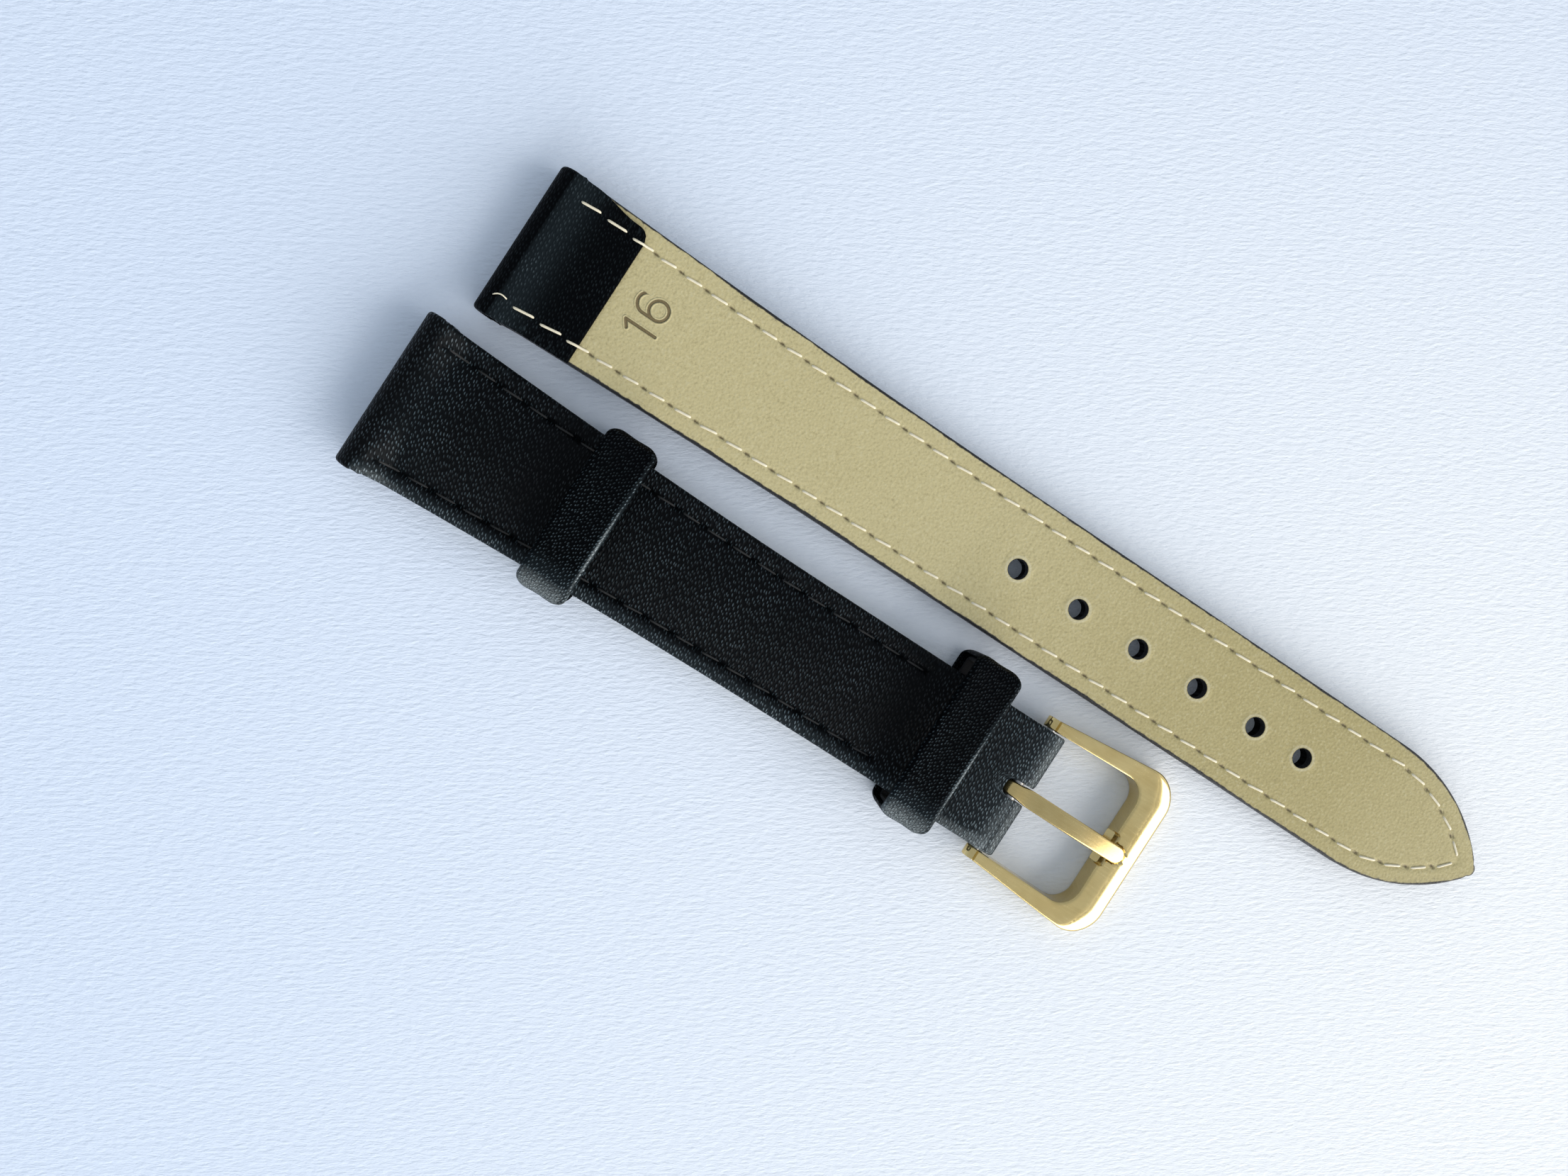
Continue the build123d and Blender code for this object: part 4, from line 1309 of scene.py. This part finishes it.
@dataclass
class ShortHalf(StrapHalf):
    """The half with the buckle, folded round the buckle's bar."""

    seams: Tuple[Tuple[str, Tuple[int, ...]], ...] = (("upper_seam", (1,)), ("lower_seam", (-1,)))
    bar_x: float = 71.9
    bar_z: float = -0.2
    fold_radius: float = 1.75
    fold_cells: int = 26
    fold_end: float = -135.0
    bore: float = 0.8
    bore_end: float = -125.0
    return_cells: int = 6
    slot_back: float = 70.3
    slot_half: float = 0.95
    slot_reach: float = 2.6
    loops_at: Tuple[float, ...] = ()

    @property
    def lining_stop(self) -> float:
        """X where the lining ends."""
        return self.bar_x - 2.82

    @property
    def slot_end(self) -> float:
        """X where the tongue's slot starts to be rounded."""
        return self.slot_back + self.slot_half

    def top_stations(self) -> List[Station]:
        """Grid lines from the nose over the fold to the end of the return."""
        shape = self.shape
        rows = shape.rows(shape.nose, self.slot_end, self.cell) + shape.rows(self.slot_end, self.bar_x, 0.2)[1:]
        top = [Station(Zone.TOP, x) for x in rows]
        turns, runs = ([i / count for i in range(1, count + 1)] for count in (self.fold_cells, self.return_cells))
        fold = [Station(Zone.FOLD, mix(90.0, self.fold_end, turn)) for turn in turns]
        return top + fold + [Station(Zone.RETURN, run) for run in runs]

    def outer(self, station: Station, y: float) -> Vector:
        """A point of the grain side."""
        shape, x = self.shape, station.at
        edge, slot = shape.tail_half - abs(y), abs(y) - self.slot_half
        soft = rounding(min(edge, slot if slot > -1e-6 else 9.0) + 0.02, 0.3)
        if station.zone is Zone.FOLD:
            return arc(self.bar_x, y, self.bar_z, self.fold_radius - soft, x)
        if station.zone is Zone.RETURN:
            start = arc(self.bar_x, y, self.bar_z, self.fold_radius, self.fold_end)
            return start.lerp(Vector((start.x + start.z, y, 0.0)), x)
        point = super().outer(station, y)
        if station.zone is Zone.TOP and x > shape.pad_stop:
            share = smooth(shape.pad_stop, shape.pad_stop + 3.0, x)
            end = 1.0 if x > self.slot_back else smooth(self.bar_x - 2.5, self.bar_x, x)
            crown = 0.05 * (1 - (y / shape.tail_half) ** 2) * (1 - smooth(self.bar_x - 2.5, self.bar_x, x))
            tab = self.bar_z + self.fold_radius + crown - mix(rounding(edge, shape.edge_round), soft, end)
            point.z = mix(point.z, tab, share)
            point.z -= 0.3 * shape.seam(x, y, 0.27) * share
        return point

    def inner(self, station: Station, y: float) -> Vector:
        """A point of the flesh side."""
        x = station.at
        if station.zone is Zone.FOLD:
            return arc(self.bar_x, y, self.bar_z, self.bore, max(x, self.bore_end))
        if station.zone is Zone.RETURN:
            start = arc(self.bar_x, y, self.bar_z, self.bore, self.bore_end)
            return start.lerp(Vector((self.bar_x - 2.6, y, 0.06)), x)
        if station.zone is Zone.TOP and x > self.bar_x - 1.6:
            over = self.bar_z + math.sqrt(max(self.bore ** 2 - (x - self.bar_x) ** 2, 0.0))
            return Vector((x, y, mix(0.08, over, smooth(self.bar_x - 1.6, self.bar_x - 0.6, x))))
        point = super().inner(station, y)
        if station.zone is Zone.TOP and x > self.shape.pad_stop:
            point.z = max(point.z, 0.02)
        return point

    def warp(self, x: float, y: float) -> Pair:
        """Bends the grid to the rounded-square end of the tongue's slot."""
        start = self.slot_end - self.slot_reach
        if abs(y) < self.slot_half and start < x <= self.slot_end + 1e-6:
            back = self.slot_half * max(1 - abs(y / self.slot_half) ** 3, 0.0) ** (1 / 3)
            return x - back * smooth(start, self.slot_end, x), y
        return x, y

    def keep(self, stations: Sequence[Station]) -> Callable[[float, float], bool]:
        """Leaves the tongue's slot open."""
        centre = self.shape.columns() / 2

        def kept(row: float, column: float) -> bool:
            """Whether a cell lies outside the slot."""
            station = stations[int(row)]
            if abs(column - centre) > BAND_CELLS / 2 or station.zone in (Zone.FLAP, Zone.NOSE):
                return True
            return station.zone is Zone.TOP and station.at < self.slot_end - 1e-6

        return kept

    def wear_and_painted_light(self, station: Station, y: float) -> float:
        """Rubbing and painted light: grey rubbing with painted sheen on the tab and its fold, more on the lower
        side; painted sheen along the lower margin and where the top rises from the nose; painted shade on the nose
        and beside the keepers.
        """
        x, bar = station.at, self.bar_x
        # The fold: grey rubbing with a painted sheen where it curves towards the light.
        if station.zone is Zone.FOLD:
            return 0.4 + 0.3 * hump(x, 60.0, 26.0)
        if station.zone is not Zone.TOP:
            return 0.0
        # The tab: grey rubbing with a painted sheen, stronger on the lower (-Y) side that faces the light.
        tab = (0.22 + 0.12 * smooth(-3.0, 4.0, -y)) * smooth(self.shape.pad_stop, bar - 3.0, x)
        tab += 0.26 * smooth(bar - 3.5, bar, x)
        # Painted sheen along the lower (-Y) margin.
        side = 0.5 * smooth(-1.7, -0.5, -self.shape.half_width(x) - y) * (1 - tab)
        # Rubbing by the bar, and a painted highlight where the top rises from the nose.
        rubbed_and_lit = 0.1 * smooth(bar - 0.9, bar, x) + 0.1 * hump(x, 4.2, 2.6)
        # Painted shade on the nose's end and on the leather just -X of each keeper.
        painted_shade = 0.24 * (1 - smooth(0.7, 2.4, x))
        for middle in self.loops_at:
            painted_shade += 0.22 * hump(x, middle - 5.2, 4.6) * smooth(-5.5, -1.0, y)
        return tab + rubbed_and_lit + side - painted_shade


# ---- Keepers


@dataclass
class Keeper:
    """A loop of leather strip with turned edges, wrapped over a core strip."""

    name: str
    body: str
    cover_wall: float = 0.63
    core_wall: float = 0.45
    core_width: float = 3.8
    gap: float = 0.02
    corner: float = 1.35
    plan_corner: float = 1.05
    edge: float = 0.42
    inner_edge: float = 0.22
    dip: float = 0.05

    def __post_init__(self) -> None:
        """Finds the loop's box, in millimetres."""
        low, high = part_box(self.name + "_cover")
        self.low, self.high = low / MM, high / MM

    def path(self) -> List[Tuple[Vector, Vector]]:
        """Points of the loop and their outward directions, in Y and Z, from the middle of the underside."""
        radius = self.corner
        a, b = self.low.y + radius, self.high.y - radius
        c, d = self.low.z + radius, self.high.z - radius
        last = Vector((0, (a + b) / 2, c))

        def out(angle: float) -> Vector:
            """A direction in Y and Z."""
            return Vector((0, math.cos(math.radians(angle)), math.sin(math.radians(angle))))

        found = []
        # The last turn closes the loop and curls in there, inside the underside's wall, where nothing shows it
        for y, z, start in ((b, c, 270), (b, d, 0), (a, d, 90), (a, c, 180), (last.y, c, 270)):
            middle = Vector((0, y, z))
            count = max(2, round((middle - last).length / 0.5))
            found += [(last.lerp(middle, k / count) + out(start) * radius, out(start)) for k in range(count)]
            turn = [out(start + 9 * k) for k in range(10)]
            found += [(middle + ahead * radius, ahead) for ahead in turn]
            last = middle
        return found

    def section(self, width: float, wall: float) -> List[Pair]:
        """Outline of a strip across its width, whose outer face dips a little between raised edges.

        Args:
            width: The strip's width.
            wall: Its thickness.

        Returns:
            X, and depth from the outer face.
        """
        half, edge, low = width / 2, min(self.edge, wall * 0.7), min(self.inner_edge, wall * 0.4)
        turns = [math.radians(15 * k) for k in range(7)]
        points = [(half - edge + edge * math.sin(turn), edge - edge * math.cos(turn)) for turn in turns]
        turns = [math.radians(18 * k) for k in range(1, 6)]
        points += [(half - low + low * math.cos(turn), wall - low + low * math.sin(turn)) for turn in turns]
        inner = [(-x, depth) for x, depth in reversed(points)]
        shares = [k / 18 for k in range(1, 18)]
        bottom = [(mix(half - low, low - half, share), wall) for share in shares]
        top = [(mix(edge - half, half - edge, share), 0.0) for share in shares]
        ring = points + bottom + inner + top
        dips = [self.dip * (1 - smooth(0.0, 0.72, abs(x / half))) if depth < wall / 2 else 0.0 for x, depth in ring]
        return [(x, depth + dip) for (x, depth), dip in zip(ring, dips)]

    def loop(self, name: str, node: str, finish: Finish, slot: str, width: float, inset: float, wall: float) -> None:
        """Makes one strip of the loop.

        Args:
            name: The piece's name.
            node: Its CAD node.
            finish: Its finish.
            slot: Its material slot.
            width: The strip's width.
            inset: Depth of its outer face.
            wall: Its thickness.
        """
        high, middle = self.high, (self.low + self.high) / 2
        reach = (self.high.y - self.low.y) / 2
        ring = self.section(width, wall)
        path = self.path()
        rings, runs = [], [0.0]
        for point, out in path:
            places = []
            for x, depth in ring:
                at = point - out * (inset + depth)
                plan = rounding(reach - abs(at.y - middle.y), self.plan_corner) / (width / 2)
                places.append(at + Vector((middle.x + x * (1 - plan), 0, 0)))
            rings.append(places)
        rings.append(rings[0])
        for last, ahead in zip(path, path[1:] + path[:1]):
            runs.append(runs[-1] + (ahead[0] - last[0]).length)

        def facts(number: int, place: int) -> Facts:
            """Place along u and round v of the strip, and rubbing with a painted highlight on its upper rims, a
            painted sheen on its lower end and painted shade on its +Y half.
            """
            at = rings[number][place]
            x, depth = ring[place]
            facing = depth < wall / 2
            rim = hump(x, width / 2 - 0.25, 0.2) * smooth(high.z - 0.9, high.z - 0.25, at.z) if facing else 0.0
            rubbed_and_lit = 0.35 + 0.65 * hump(at.y, middle.y - 0.25 * reach, 0.55 * reach)
            across = (at.y - middle.y) / reach
            end = smooth(0.5, 0.97, -across) * smooth(high.z - 2.4, high.z - 0.6, at.z)
            # Painted light: the rim line is rubbing plus a painted highlight, the lower end a painted sheen, and the
            # +Y half painted shade.
            worn_and_lit = 0.95 * rim * rubbed_and_lit + 0.82 * end * (1 - rim) - 0.12 * smooth(0.2, 0.9, across)
            return {"u": x, "v": runs[number] + (0.0 if facing else 0.3), "edge": 3.0, "worn_and_lit": worn_and_lit}

        bm = bmesh.new()
        sweep(bm, rings, True, facts)
        finish_mesh(name, bm, finish, self.body, [node], slot)

    def build(self) -> None:
        """Makes the cover and the core."""
        name, width, wall = self.name, self.high.x - self.low.x, self.cover_wall
        self.loop(name + "_leather", name + "_cover", Finish.KEEPER, "black_leather", width, 0.0, wall)
        width, inset = self.core_width, wall + self.gap
        self.loop(name + "_strip", name + "_core", Finish.CORE, "keeper_core", width, inset, self.core_wall)


# ---- Buckle


FRONT_FALL = (
    (0.12, 0.008), (0.26, 0.037), (0.40, 0.088), (0.54, 0.160), (0.68, 0.255), (0.81, 0.362), (0.91, 0.475),
    (0.975, 0.67), (1.0, 1.0),
)
SATIN_PLACES = {8: 0.45, 9: 1.0, 10: 1.0, 11: 1.0, 12: 1.0, 13: 0.85, 14: 0.55, 15: 0.2}


@dataclass
class Buckle:
    """Gold-coloured frame and tongue on the spring bar. X is counted from the bar's axis."""

    inside: float = 7.0
    arm: float = 1.15
    half_front: float = 9.28
    inner_run: float = 11.3
    outer_run: float = 14.9
    corner: float = 3.3
    inner_corner: float = 2.2
    bow: float = 0.35
    top: float = 3.15
    front_top: float = 2.65
    start: float = 0.15
    soft: float = 0.13
    ear: float = 0.92
    hole: float = 0.5
    hole_depth: float = 0.95
    seat_half: float = 0.96
    seat_depth: float = 0.3
    seat_run: float = 13.1
    notch_half: float = 1.8
    notch_depth: float = 0.4
    ledge: float = 0.35
    eye: float = 0.78
    eye_wall: float = 0.62
    eye_half: float = 0.73
    eye_turn: Pair = (-62.0, -270.0)
    eye_cells: int = 26
    tip_run: float = 13.0
    tip_half: float = 0.88
    tongue_cells: int = 50
    arm_cells: int = 15
    corner_cells: int = 16
    front_cells: int = 40

    def __post_init__(self) -> None:
        """Finds the bar's axis from the barrel."""
        self.axis = centre_of("bar_barrel")

    def outline(self, base: float, run: float, radius: float, slope: float) -> List[Point]:
        """Half of a plan outline, from the ear round the corner to the middle of the front.

        Args:
            base: Half width at the bar.
            run: X of the front.
            radius: Corner radius.
            slope: Widening for each millimetre of X.

        Returns:
            X, Y and a stretch that grows from 0 to 1 on the arm, to 2 on the corner and to 3 on the front.
        """
        tilt = math.atan(slope)
        x, y = run - radius, base + (run - radius) * slope - radius * math.sqrt(1 + slope ** 2)
        first = (self.start, base + self.start * slope)
        last = (x - radius * math.sin(tilt), y + radius * math.cos(tilt))
        arm, turn = ([i / count for i in range(count)] for count in (self.arm_cells, self.corner_cells))
        front = [i / self.front_cells for i in range(self.front_cells + 1)]
        points = [(mix(first[0], last[0], share), mix(first[1], last[1], share), share) for share in arm]
        for share in turn:
            angle = mix(math.pi / 2 + tilt, 0.0, share)
            points.append((x + radius * math.cos(angle), y + radius * math.sin(angle), 1 + share))
        return points + [(run, y * (1 - share), 2 + share) for share in front]

    def level(self, x: float) -> float:
        """Height of the frame's flat top."""
        return mix(self.top, self.front_top, x / self.outer_run)

    def section(self, inner: Point, outer: Point) -> List[Vector]:
        """Ring of the frame's cross-section between two outline points.

        Args:
            inner: Point of the window's outline.
            outer: Point of the outside, with the stretch that both stand on.

        Returns:
            The ring's points, from the inner wall's foot over the top and back underneath.
        """
        front = smooth(0.75, 1.75, outer[2])
        width = math.hypot(outer[0] - inner[0], outer[1] - inner[1])
        high = self.level(inner[0])
        low = mix(mix(1.0, 0.12, min(inner[0] / self.inner_run, 1.0)), 0.0, front)
        soft, side, bit = self.soft, self.soft / width, self.soft * 0.3
        flat, drop = mix(1 - 0.22 / width, 0.40, front), mix(0.22, 1.1, front)
        ring = [(0.0, mix(low + soft, high - soft, share)) for share in (0.0, 0.12, 0.3, 0.5, 0.7, 0.88)]
        ring += [(0.0, high - soft), (bit / width, high - bit), (side, high)]
        ring += [(mix(side, flat, share), high) for share in (0.12, 0.35, 0.6, 0.85, 1.0)]
        for k, (run, fall) in enumerate(FRONT_FALL, 1):
            angle = math.radians(10 * k)
            run, fall = mix(math.sin(angle), run, front), mix(1 - math.cos(angle), fall, front)
            ring.append((flat + (1 - flat) * run, high - drop * fall))
        ring += [(1.0, mix(high - drop, low + soft, 0.5)), (1.0, low + soft), (1 - bit / width, low + bit)]
        ring += [(1 - side, low), (0.5, low), (side, low), (bit / width, low + bit)]
        across = [(mix(inner[0], outer[0], share), mix(inner[1], outer[1], share), z, share) for share, z in ring]
        return [self.dent(*place) for place in across]

    def dent(self, x: float, y: float, z: float, share: float) -> Vector:
        """Presses the tongue's seat into the top, and the notch and its ledge into the inner wall.

        Args:
            x: X of a point of the frame.
            y: Its Y.
            z: Its height.
            share: Its place between the inner wall at 0 and the outside at 1.

        Returns:
            The point.
        """
        if abs(y) < 3.0 and x > self.inner_run - 0.01:
            away = math.hypot(max(x - self.seat_run + 1.0, 0.0), abs(y))
            seat = 1 - smooth(self.seat_half - 0.05, self.seat_half + 0.12, away)
            z = mix(z, min(z, self.level(self.inner_run) - self.seat_depth), seat)
            wide = 1 - smooth(self.notch_half - 0.08, self.notch_half + 0.08, abs(y))
            if share < 0.02:
                x -= wide * self.ledge * smooth(0.4, 0.5, z) * (1 - smooth(1.08, 1.16, z))
            x += wide * self.notch_depth * smooth(1.12, 1.2, z) * (1 - smooth(0.0, 0.25, share))
        return Vector((x, y, z))

    def frame(self) -> None:
        """Makes the frame."""
        run = self.outer_run - self.corner
        gain = self.half_front - self.inside - self.arm
        slope = (run - math.sqrt(run ** 2 - 2 * self.corner * gain)) / self.corner
        outer = self.outline(self.inside + self.arm, self.outer_run, self.corner, slope)
        inner = self.outline(self.inside, self.inner_run, self.inner_corner, self.bow / self.inner_run)
        rings = [self.section(i, o) for i, o in zip(inner, outer)]
        rings += [[Vector((p.x, -p.y, p.z)) for p in ring] for ring in reversed(rings[:-1])]
        base = Vector((self.axis.x, self.axis.y, 0.0))
        rings = [[base + p for p in ring] for ring in rings]
        bm = bmesh.new()
        sweep(bm, rings, False, lambda number, place: {"satin": SATIN_PLACES.get(place, 0.0)})
        for sign in (1, -1):
            self.knuckle(bm, sign)
        finish_mesh("buckle_gold_frame", bm, Finish.GOLD, "buckle", ["buckle_frame"], "gold_polished", 38.0)

    def knuckle(self, bm: bmesh.types.BMesh, sign: int) -> None:
        """Adds an ear with a blind hole for the spring bar's pin, on the side that sign gives."""
        near, far = self.inside, self.inside + self.arm
        depth = self.inside + self.hole_depth
        profile = [
            (0.0, depth), (self.hole, depth), (self.hole, near + 0.06), (self.hole + 0.06, near),
            (self.ear - 0.1, near), (self.ear - 0.03, near + 0.03), (self.ear, near + 0.1), (self.ear, far - 0.14),
            (self.ear - 0.04, far - 0.04), (self.ear - 0.14, far), (0.0, far),
        ]
        lathe(bm, [(r, sign * y) for r, y in profile], self.axis, 40)

    def tongue(self) -> None:
        """Makes the tongue: a strip rolled round the bar at its root, and narrowed there to clear its slot."""
        rings = []
        for i in range(self.eye_cells + 1):
            out = arc(0, 0, 0, 1, mix(*self.eye_turn, i / self.eye_cells))
            wide = self.eye_half * math.sqrt(1 - 0.4 * smooth(0.55, 1.0, -out.x) ** 2)
            rings.append(self.tongue_ring(out * self.eye, out, self.eye_wall, wide))
        for i in range(1, self.tongue_cells + 1):
            x = self.tip_run * (1 - (1 - i / self.tongue_cells) ** 1.25)
            low, high = self.tongue_level(max(x, 0.1))
            low = max(low, math.sqrt(max(self.eye ** 2 - x * x, 0.0)))
            high = mix(self.eye + self.eye_wall, high, smooth(0.4, 3.4, x))
            wide = mix(0.74, 0.9, smooth(0.0, 1.7, x)) - 0.02 * smooth(8.0, 12.0, x)
            past = x - (self.tip_run - self.tip_half)
            if past > 0:
                wide = math.sqrt(max(self.tip_half ** 2 - past * past, 0.0025))
            rings.append(self.tongue_ring(Vector((x, 0, low)), Vector((0, 0, 1)), high - low, wide))
        bm = bmesh.new()
        sweep(bm, [[self.axis + p for p in ring] for ring in rings], False, lambda number, place: {"satin": 1.0})
        finish_mesh("buckle_gold_tongue", bm, Finish.SATIN, "tongue", ["buckle_tongue"], "gold_satin", 45.0)

    def tongue_level(self, x: float) -> Pair:
        """Underside and top of the tongue above the bar's axis: arcs through the CAD's three points."""
        seat = self.level(self.inner_run) - self.seat_depth + 0.06 - self.axis.z
        low = arc_height(x, (0.1, 0.25), (6.4, 1.42), (self.tip_run, seat))
        return low, arc_height(x, (0.1, 0.97), (6.4, 2.14), (self.tip_run, seat + 0.6))

    def tongue_ring(self, foot: Vector, out: Vector, thick: float, wide: float) -> List[Vector]:
        """Rounded cross-section of the tongue.

        Args:
            foot: Middle of its underside.
            out: Direction from there to its top.
            thick: Its thickness.
            wide: Half its width.

        Returns:
            The ring's points.
        """
        soft = min(0.2, wide * 0.45)
        ring = []
        for side, middle, start in ((1, thick - soft, 0), (-1, thick - soft, 90), (-1, soft, 180), (1, soft, 270)):
            for k in range(5):
                angle = math.radians(start + 22.5 * k)
                y = side * (wide - soft) + soft * math.cos(angle)
                ring.append(foot + Vector((0, y, 0)) + out * (middle + soft * math.sin(angle)))
        return ring

    def build(self) -> None:
        """Makes the frame and the tongue, and dresses the spring bar."""
        self.frame()
        self.tongue()
        for node in ("bar_barrel", "bar_tip_upper", "bar_tip_lower", "bar_spring"):
            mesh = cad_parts[node].data
            mesh.materials.clear()
            mesh.materials.append(Finish.STEEL.material())
            LOG.info("%s: dressed", node)


def arc_height(x: float, a: Pair, b: Pair, c: Pair) -> float:
    """Height at x of the circle arc through three points."""
    turn = 2 * (a[0] * (b[1] - c[1]) + b[0] * (c[1] - a[1]) + c[0] * (a[1] - b[1]))
    sa, sb, sc = (p[0] ** 2 + p[1] ** 2 for p in (a, b, c))
    cx = (sa * (b[1] - c[1]) + sb * (c[1] - a[1]) + sc * (a[1] - b[1])) / turn
    cz = (sa * (c[0] - b[0]) + sb * (a[0] - c[0]) + sc * (b[0] - a[0])) / turn
    radius = math.hypot(a[0] - cx, a[1] - cz)
    return cz + math.sqrt(max(radius ** 2 - (x - cx) ** 2, 0.0))


def centre_of(node: str) -> Vector:
    """Middle of a CAD node's box, in millimetres."""
    low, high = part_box(node)
    return (low + high) / 2 / MM


# ---- Studio


@dataclass
class Studio:
    """Floor, soft light and the camera."""

    eye: Point = (-29.44, -4.03, 115.35)
    right: Point = (0.83492089, 0.54324059, 0.08829926)
    above: Point = (-0.54013579, 0.83957675, -0.05800177)
    back: Point = (-0.10564292, 0.00073330, 0.99440386)
    focal: float = 1660.0 / 2212.0
    sensor: float = 36.0
    floor_half: float = 1.2
    window_at: Point = (1.38, -0.50, 0.64)
    window_size: Pair = (2.9, 1.15)
    window_power: float = 46.0
    window_colour: Colour = (1.0, 0.985, 0.965)
    zenith: Colour = (0.45, 0.50, 0.555)
    skyline: Colour = (0.56, 0.65, 0.76)
    bright_side: Colour = (1.2, 1.2, 1.2)

    def floor(self) -> None:
        """Lays the sheet."""
        bm = bmesh.new()
        bmesh.ops.create_grid(bm, x_segments=1, y_segments=1, size=self.floor_half)
        mesh = bpy.data.meshes.new("sheet")
        bm.to_mesh(mesh)
        bm.free()
        mesh.materials.append(Paper("pale_sheet").make())
        placed("sheet", mesh)

    def camera(self) -> None:
        """Sets the camera where the photograph was taken from."""
        data = bpy.data.cameras.new("camera")
        data.sensor_width = self.sensor
        data.lens = self.focal * self.sensor
        data.clip_start, data.clip_end = 0.005, 10.0
        camera = placed("camera", data)
        turn = Matrix((self.right, self.above, self.back)).transposed().to_4x4()
        camera.matrix_world = Matrix.Translation(Vector(self.eye) * MM) @ turn
        bpy.context.scene.camera = camera

    def window(self) -> None:
        """Hangs a wide soft lamp, low on the buckle's side."""
        data = bpy.data.lights.new("window", "AREA")
        data.shape = "RECTANGLE"
        data.size, data.size_y = self.window_size
        data.energy = self.window_power
        data.color = self.window_colour
        lamp = placed("window", data)
        lamp.location = self.window_at
        lamp.rotation_euler = (-lamp.location).to_track_quat("-Z", "Y").to_euler()

    def surround(self) -> None:
        """Lights the world, brighter low down and on the window's side."""
        world = bpy.data.worlds.new("surround")
        bpy.context.scene.world = world
        world.use_nodes = True
        net = Net(tree=world.node_tree)
        at = net.node("ShaderNodeTexCoord", {}, {}, "Generated")
        sky = net.blend(self.skyline, self.zenith, net.part(at, 2).step(0.1, 0.8))
        sky = net.blend(sky, self.bright_side, net.part(at, 0).step(0.45, 0.9) * 0.8)
        net.feed(net.tree.nodes["Background"].inputs["Color"], sky)

    def build(self) -> None:
        """Makes the studio."""
        self.floor()
        self.camera()
        self.window()
        self.surround()
        bpy.context.scene.view_settings.view_transform = "Standard"


def main() -> None:
    """Builds the strap in the studio."""
    logging.basicConfig(level=logging.INFO, format="%(name)s %(message)s")
    Studio().build()
    short = HalfShape(lug_width=16.2, tail_width=13.65, pad_tail=0.5, pad_stop=58.0, seam_stop=58.0)
    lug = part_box("short_top_leather")[0].x / MM
    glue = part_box("short_lining")[0].z / MM + short.lining
    place = Vector((lug, centre_of("short_top_leather").y, glue))
    loops = tuple(centre_of(name).x - lug for name in ("free_keeper_cover", "fixed_keeper_cover"))
    ShortHalf("short", "short_strap", short, place, loops_at=loops).build()
    long = PointedShape(
        lug_width=15.5, tail_width=14.0, pad_tail=0.08, pad_stop=52.0, seam_stop=200.0, level_share=1.0
    )
    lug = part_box("long_top_leather")[0].x / MM
    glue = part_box("long_lining")[1].z / MM - long.lining
    LongHalf("long", "long_strap", long, Vector((lug, centre_of("long_top_leather").y, glue))).build()
    Keeper("free_keeper", "sliding_keeper").build()
    Keeper("fixed_keeper", "short_strap").build()
    Buckle().build()


if __name__ == "__main__":
    main()
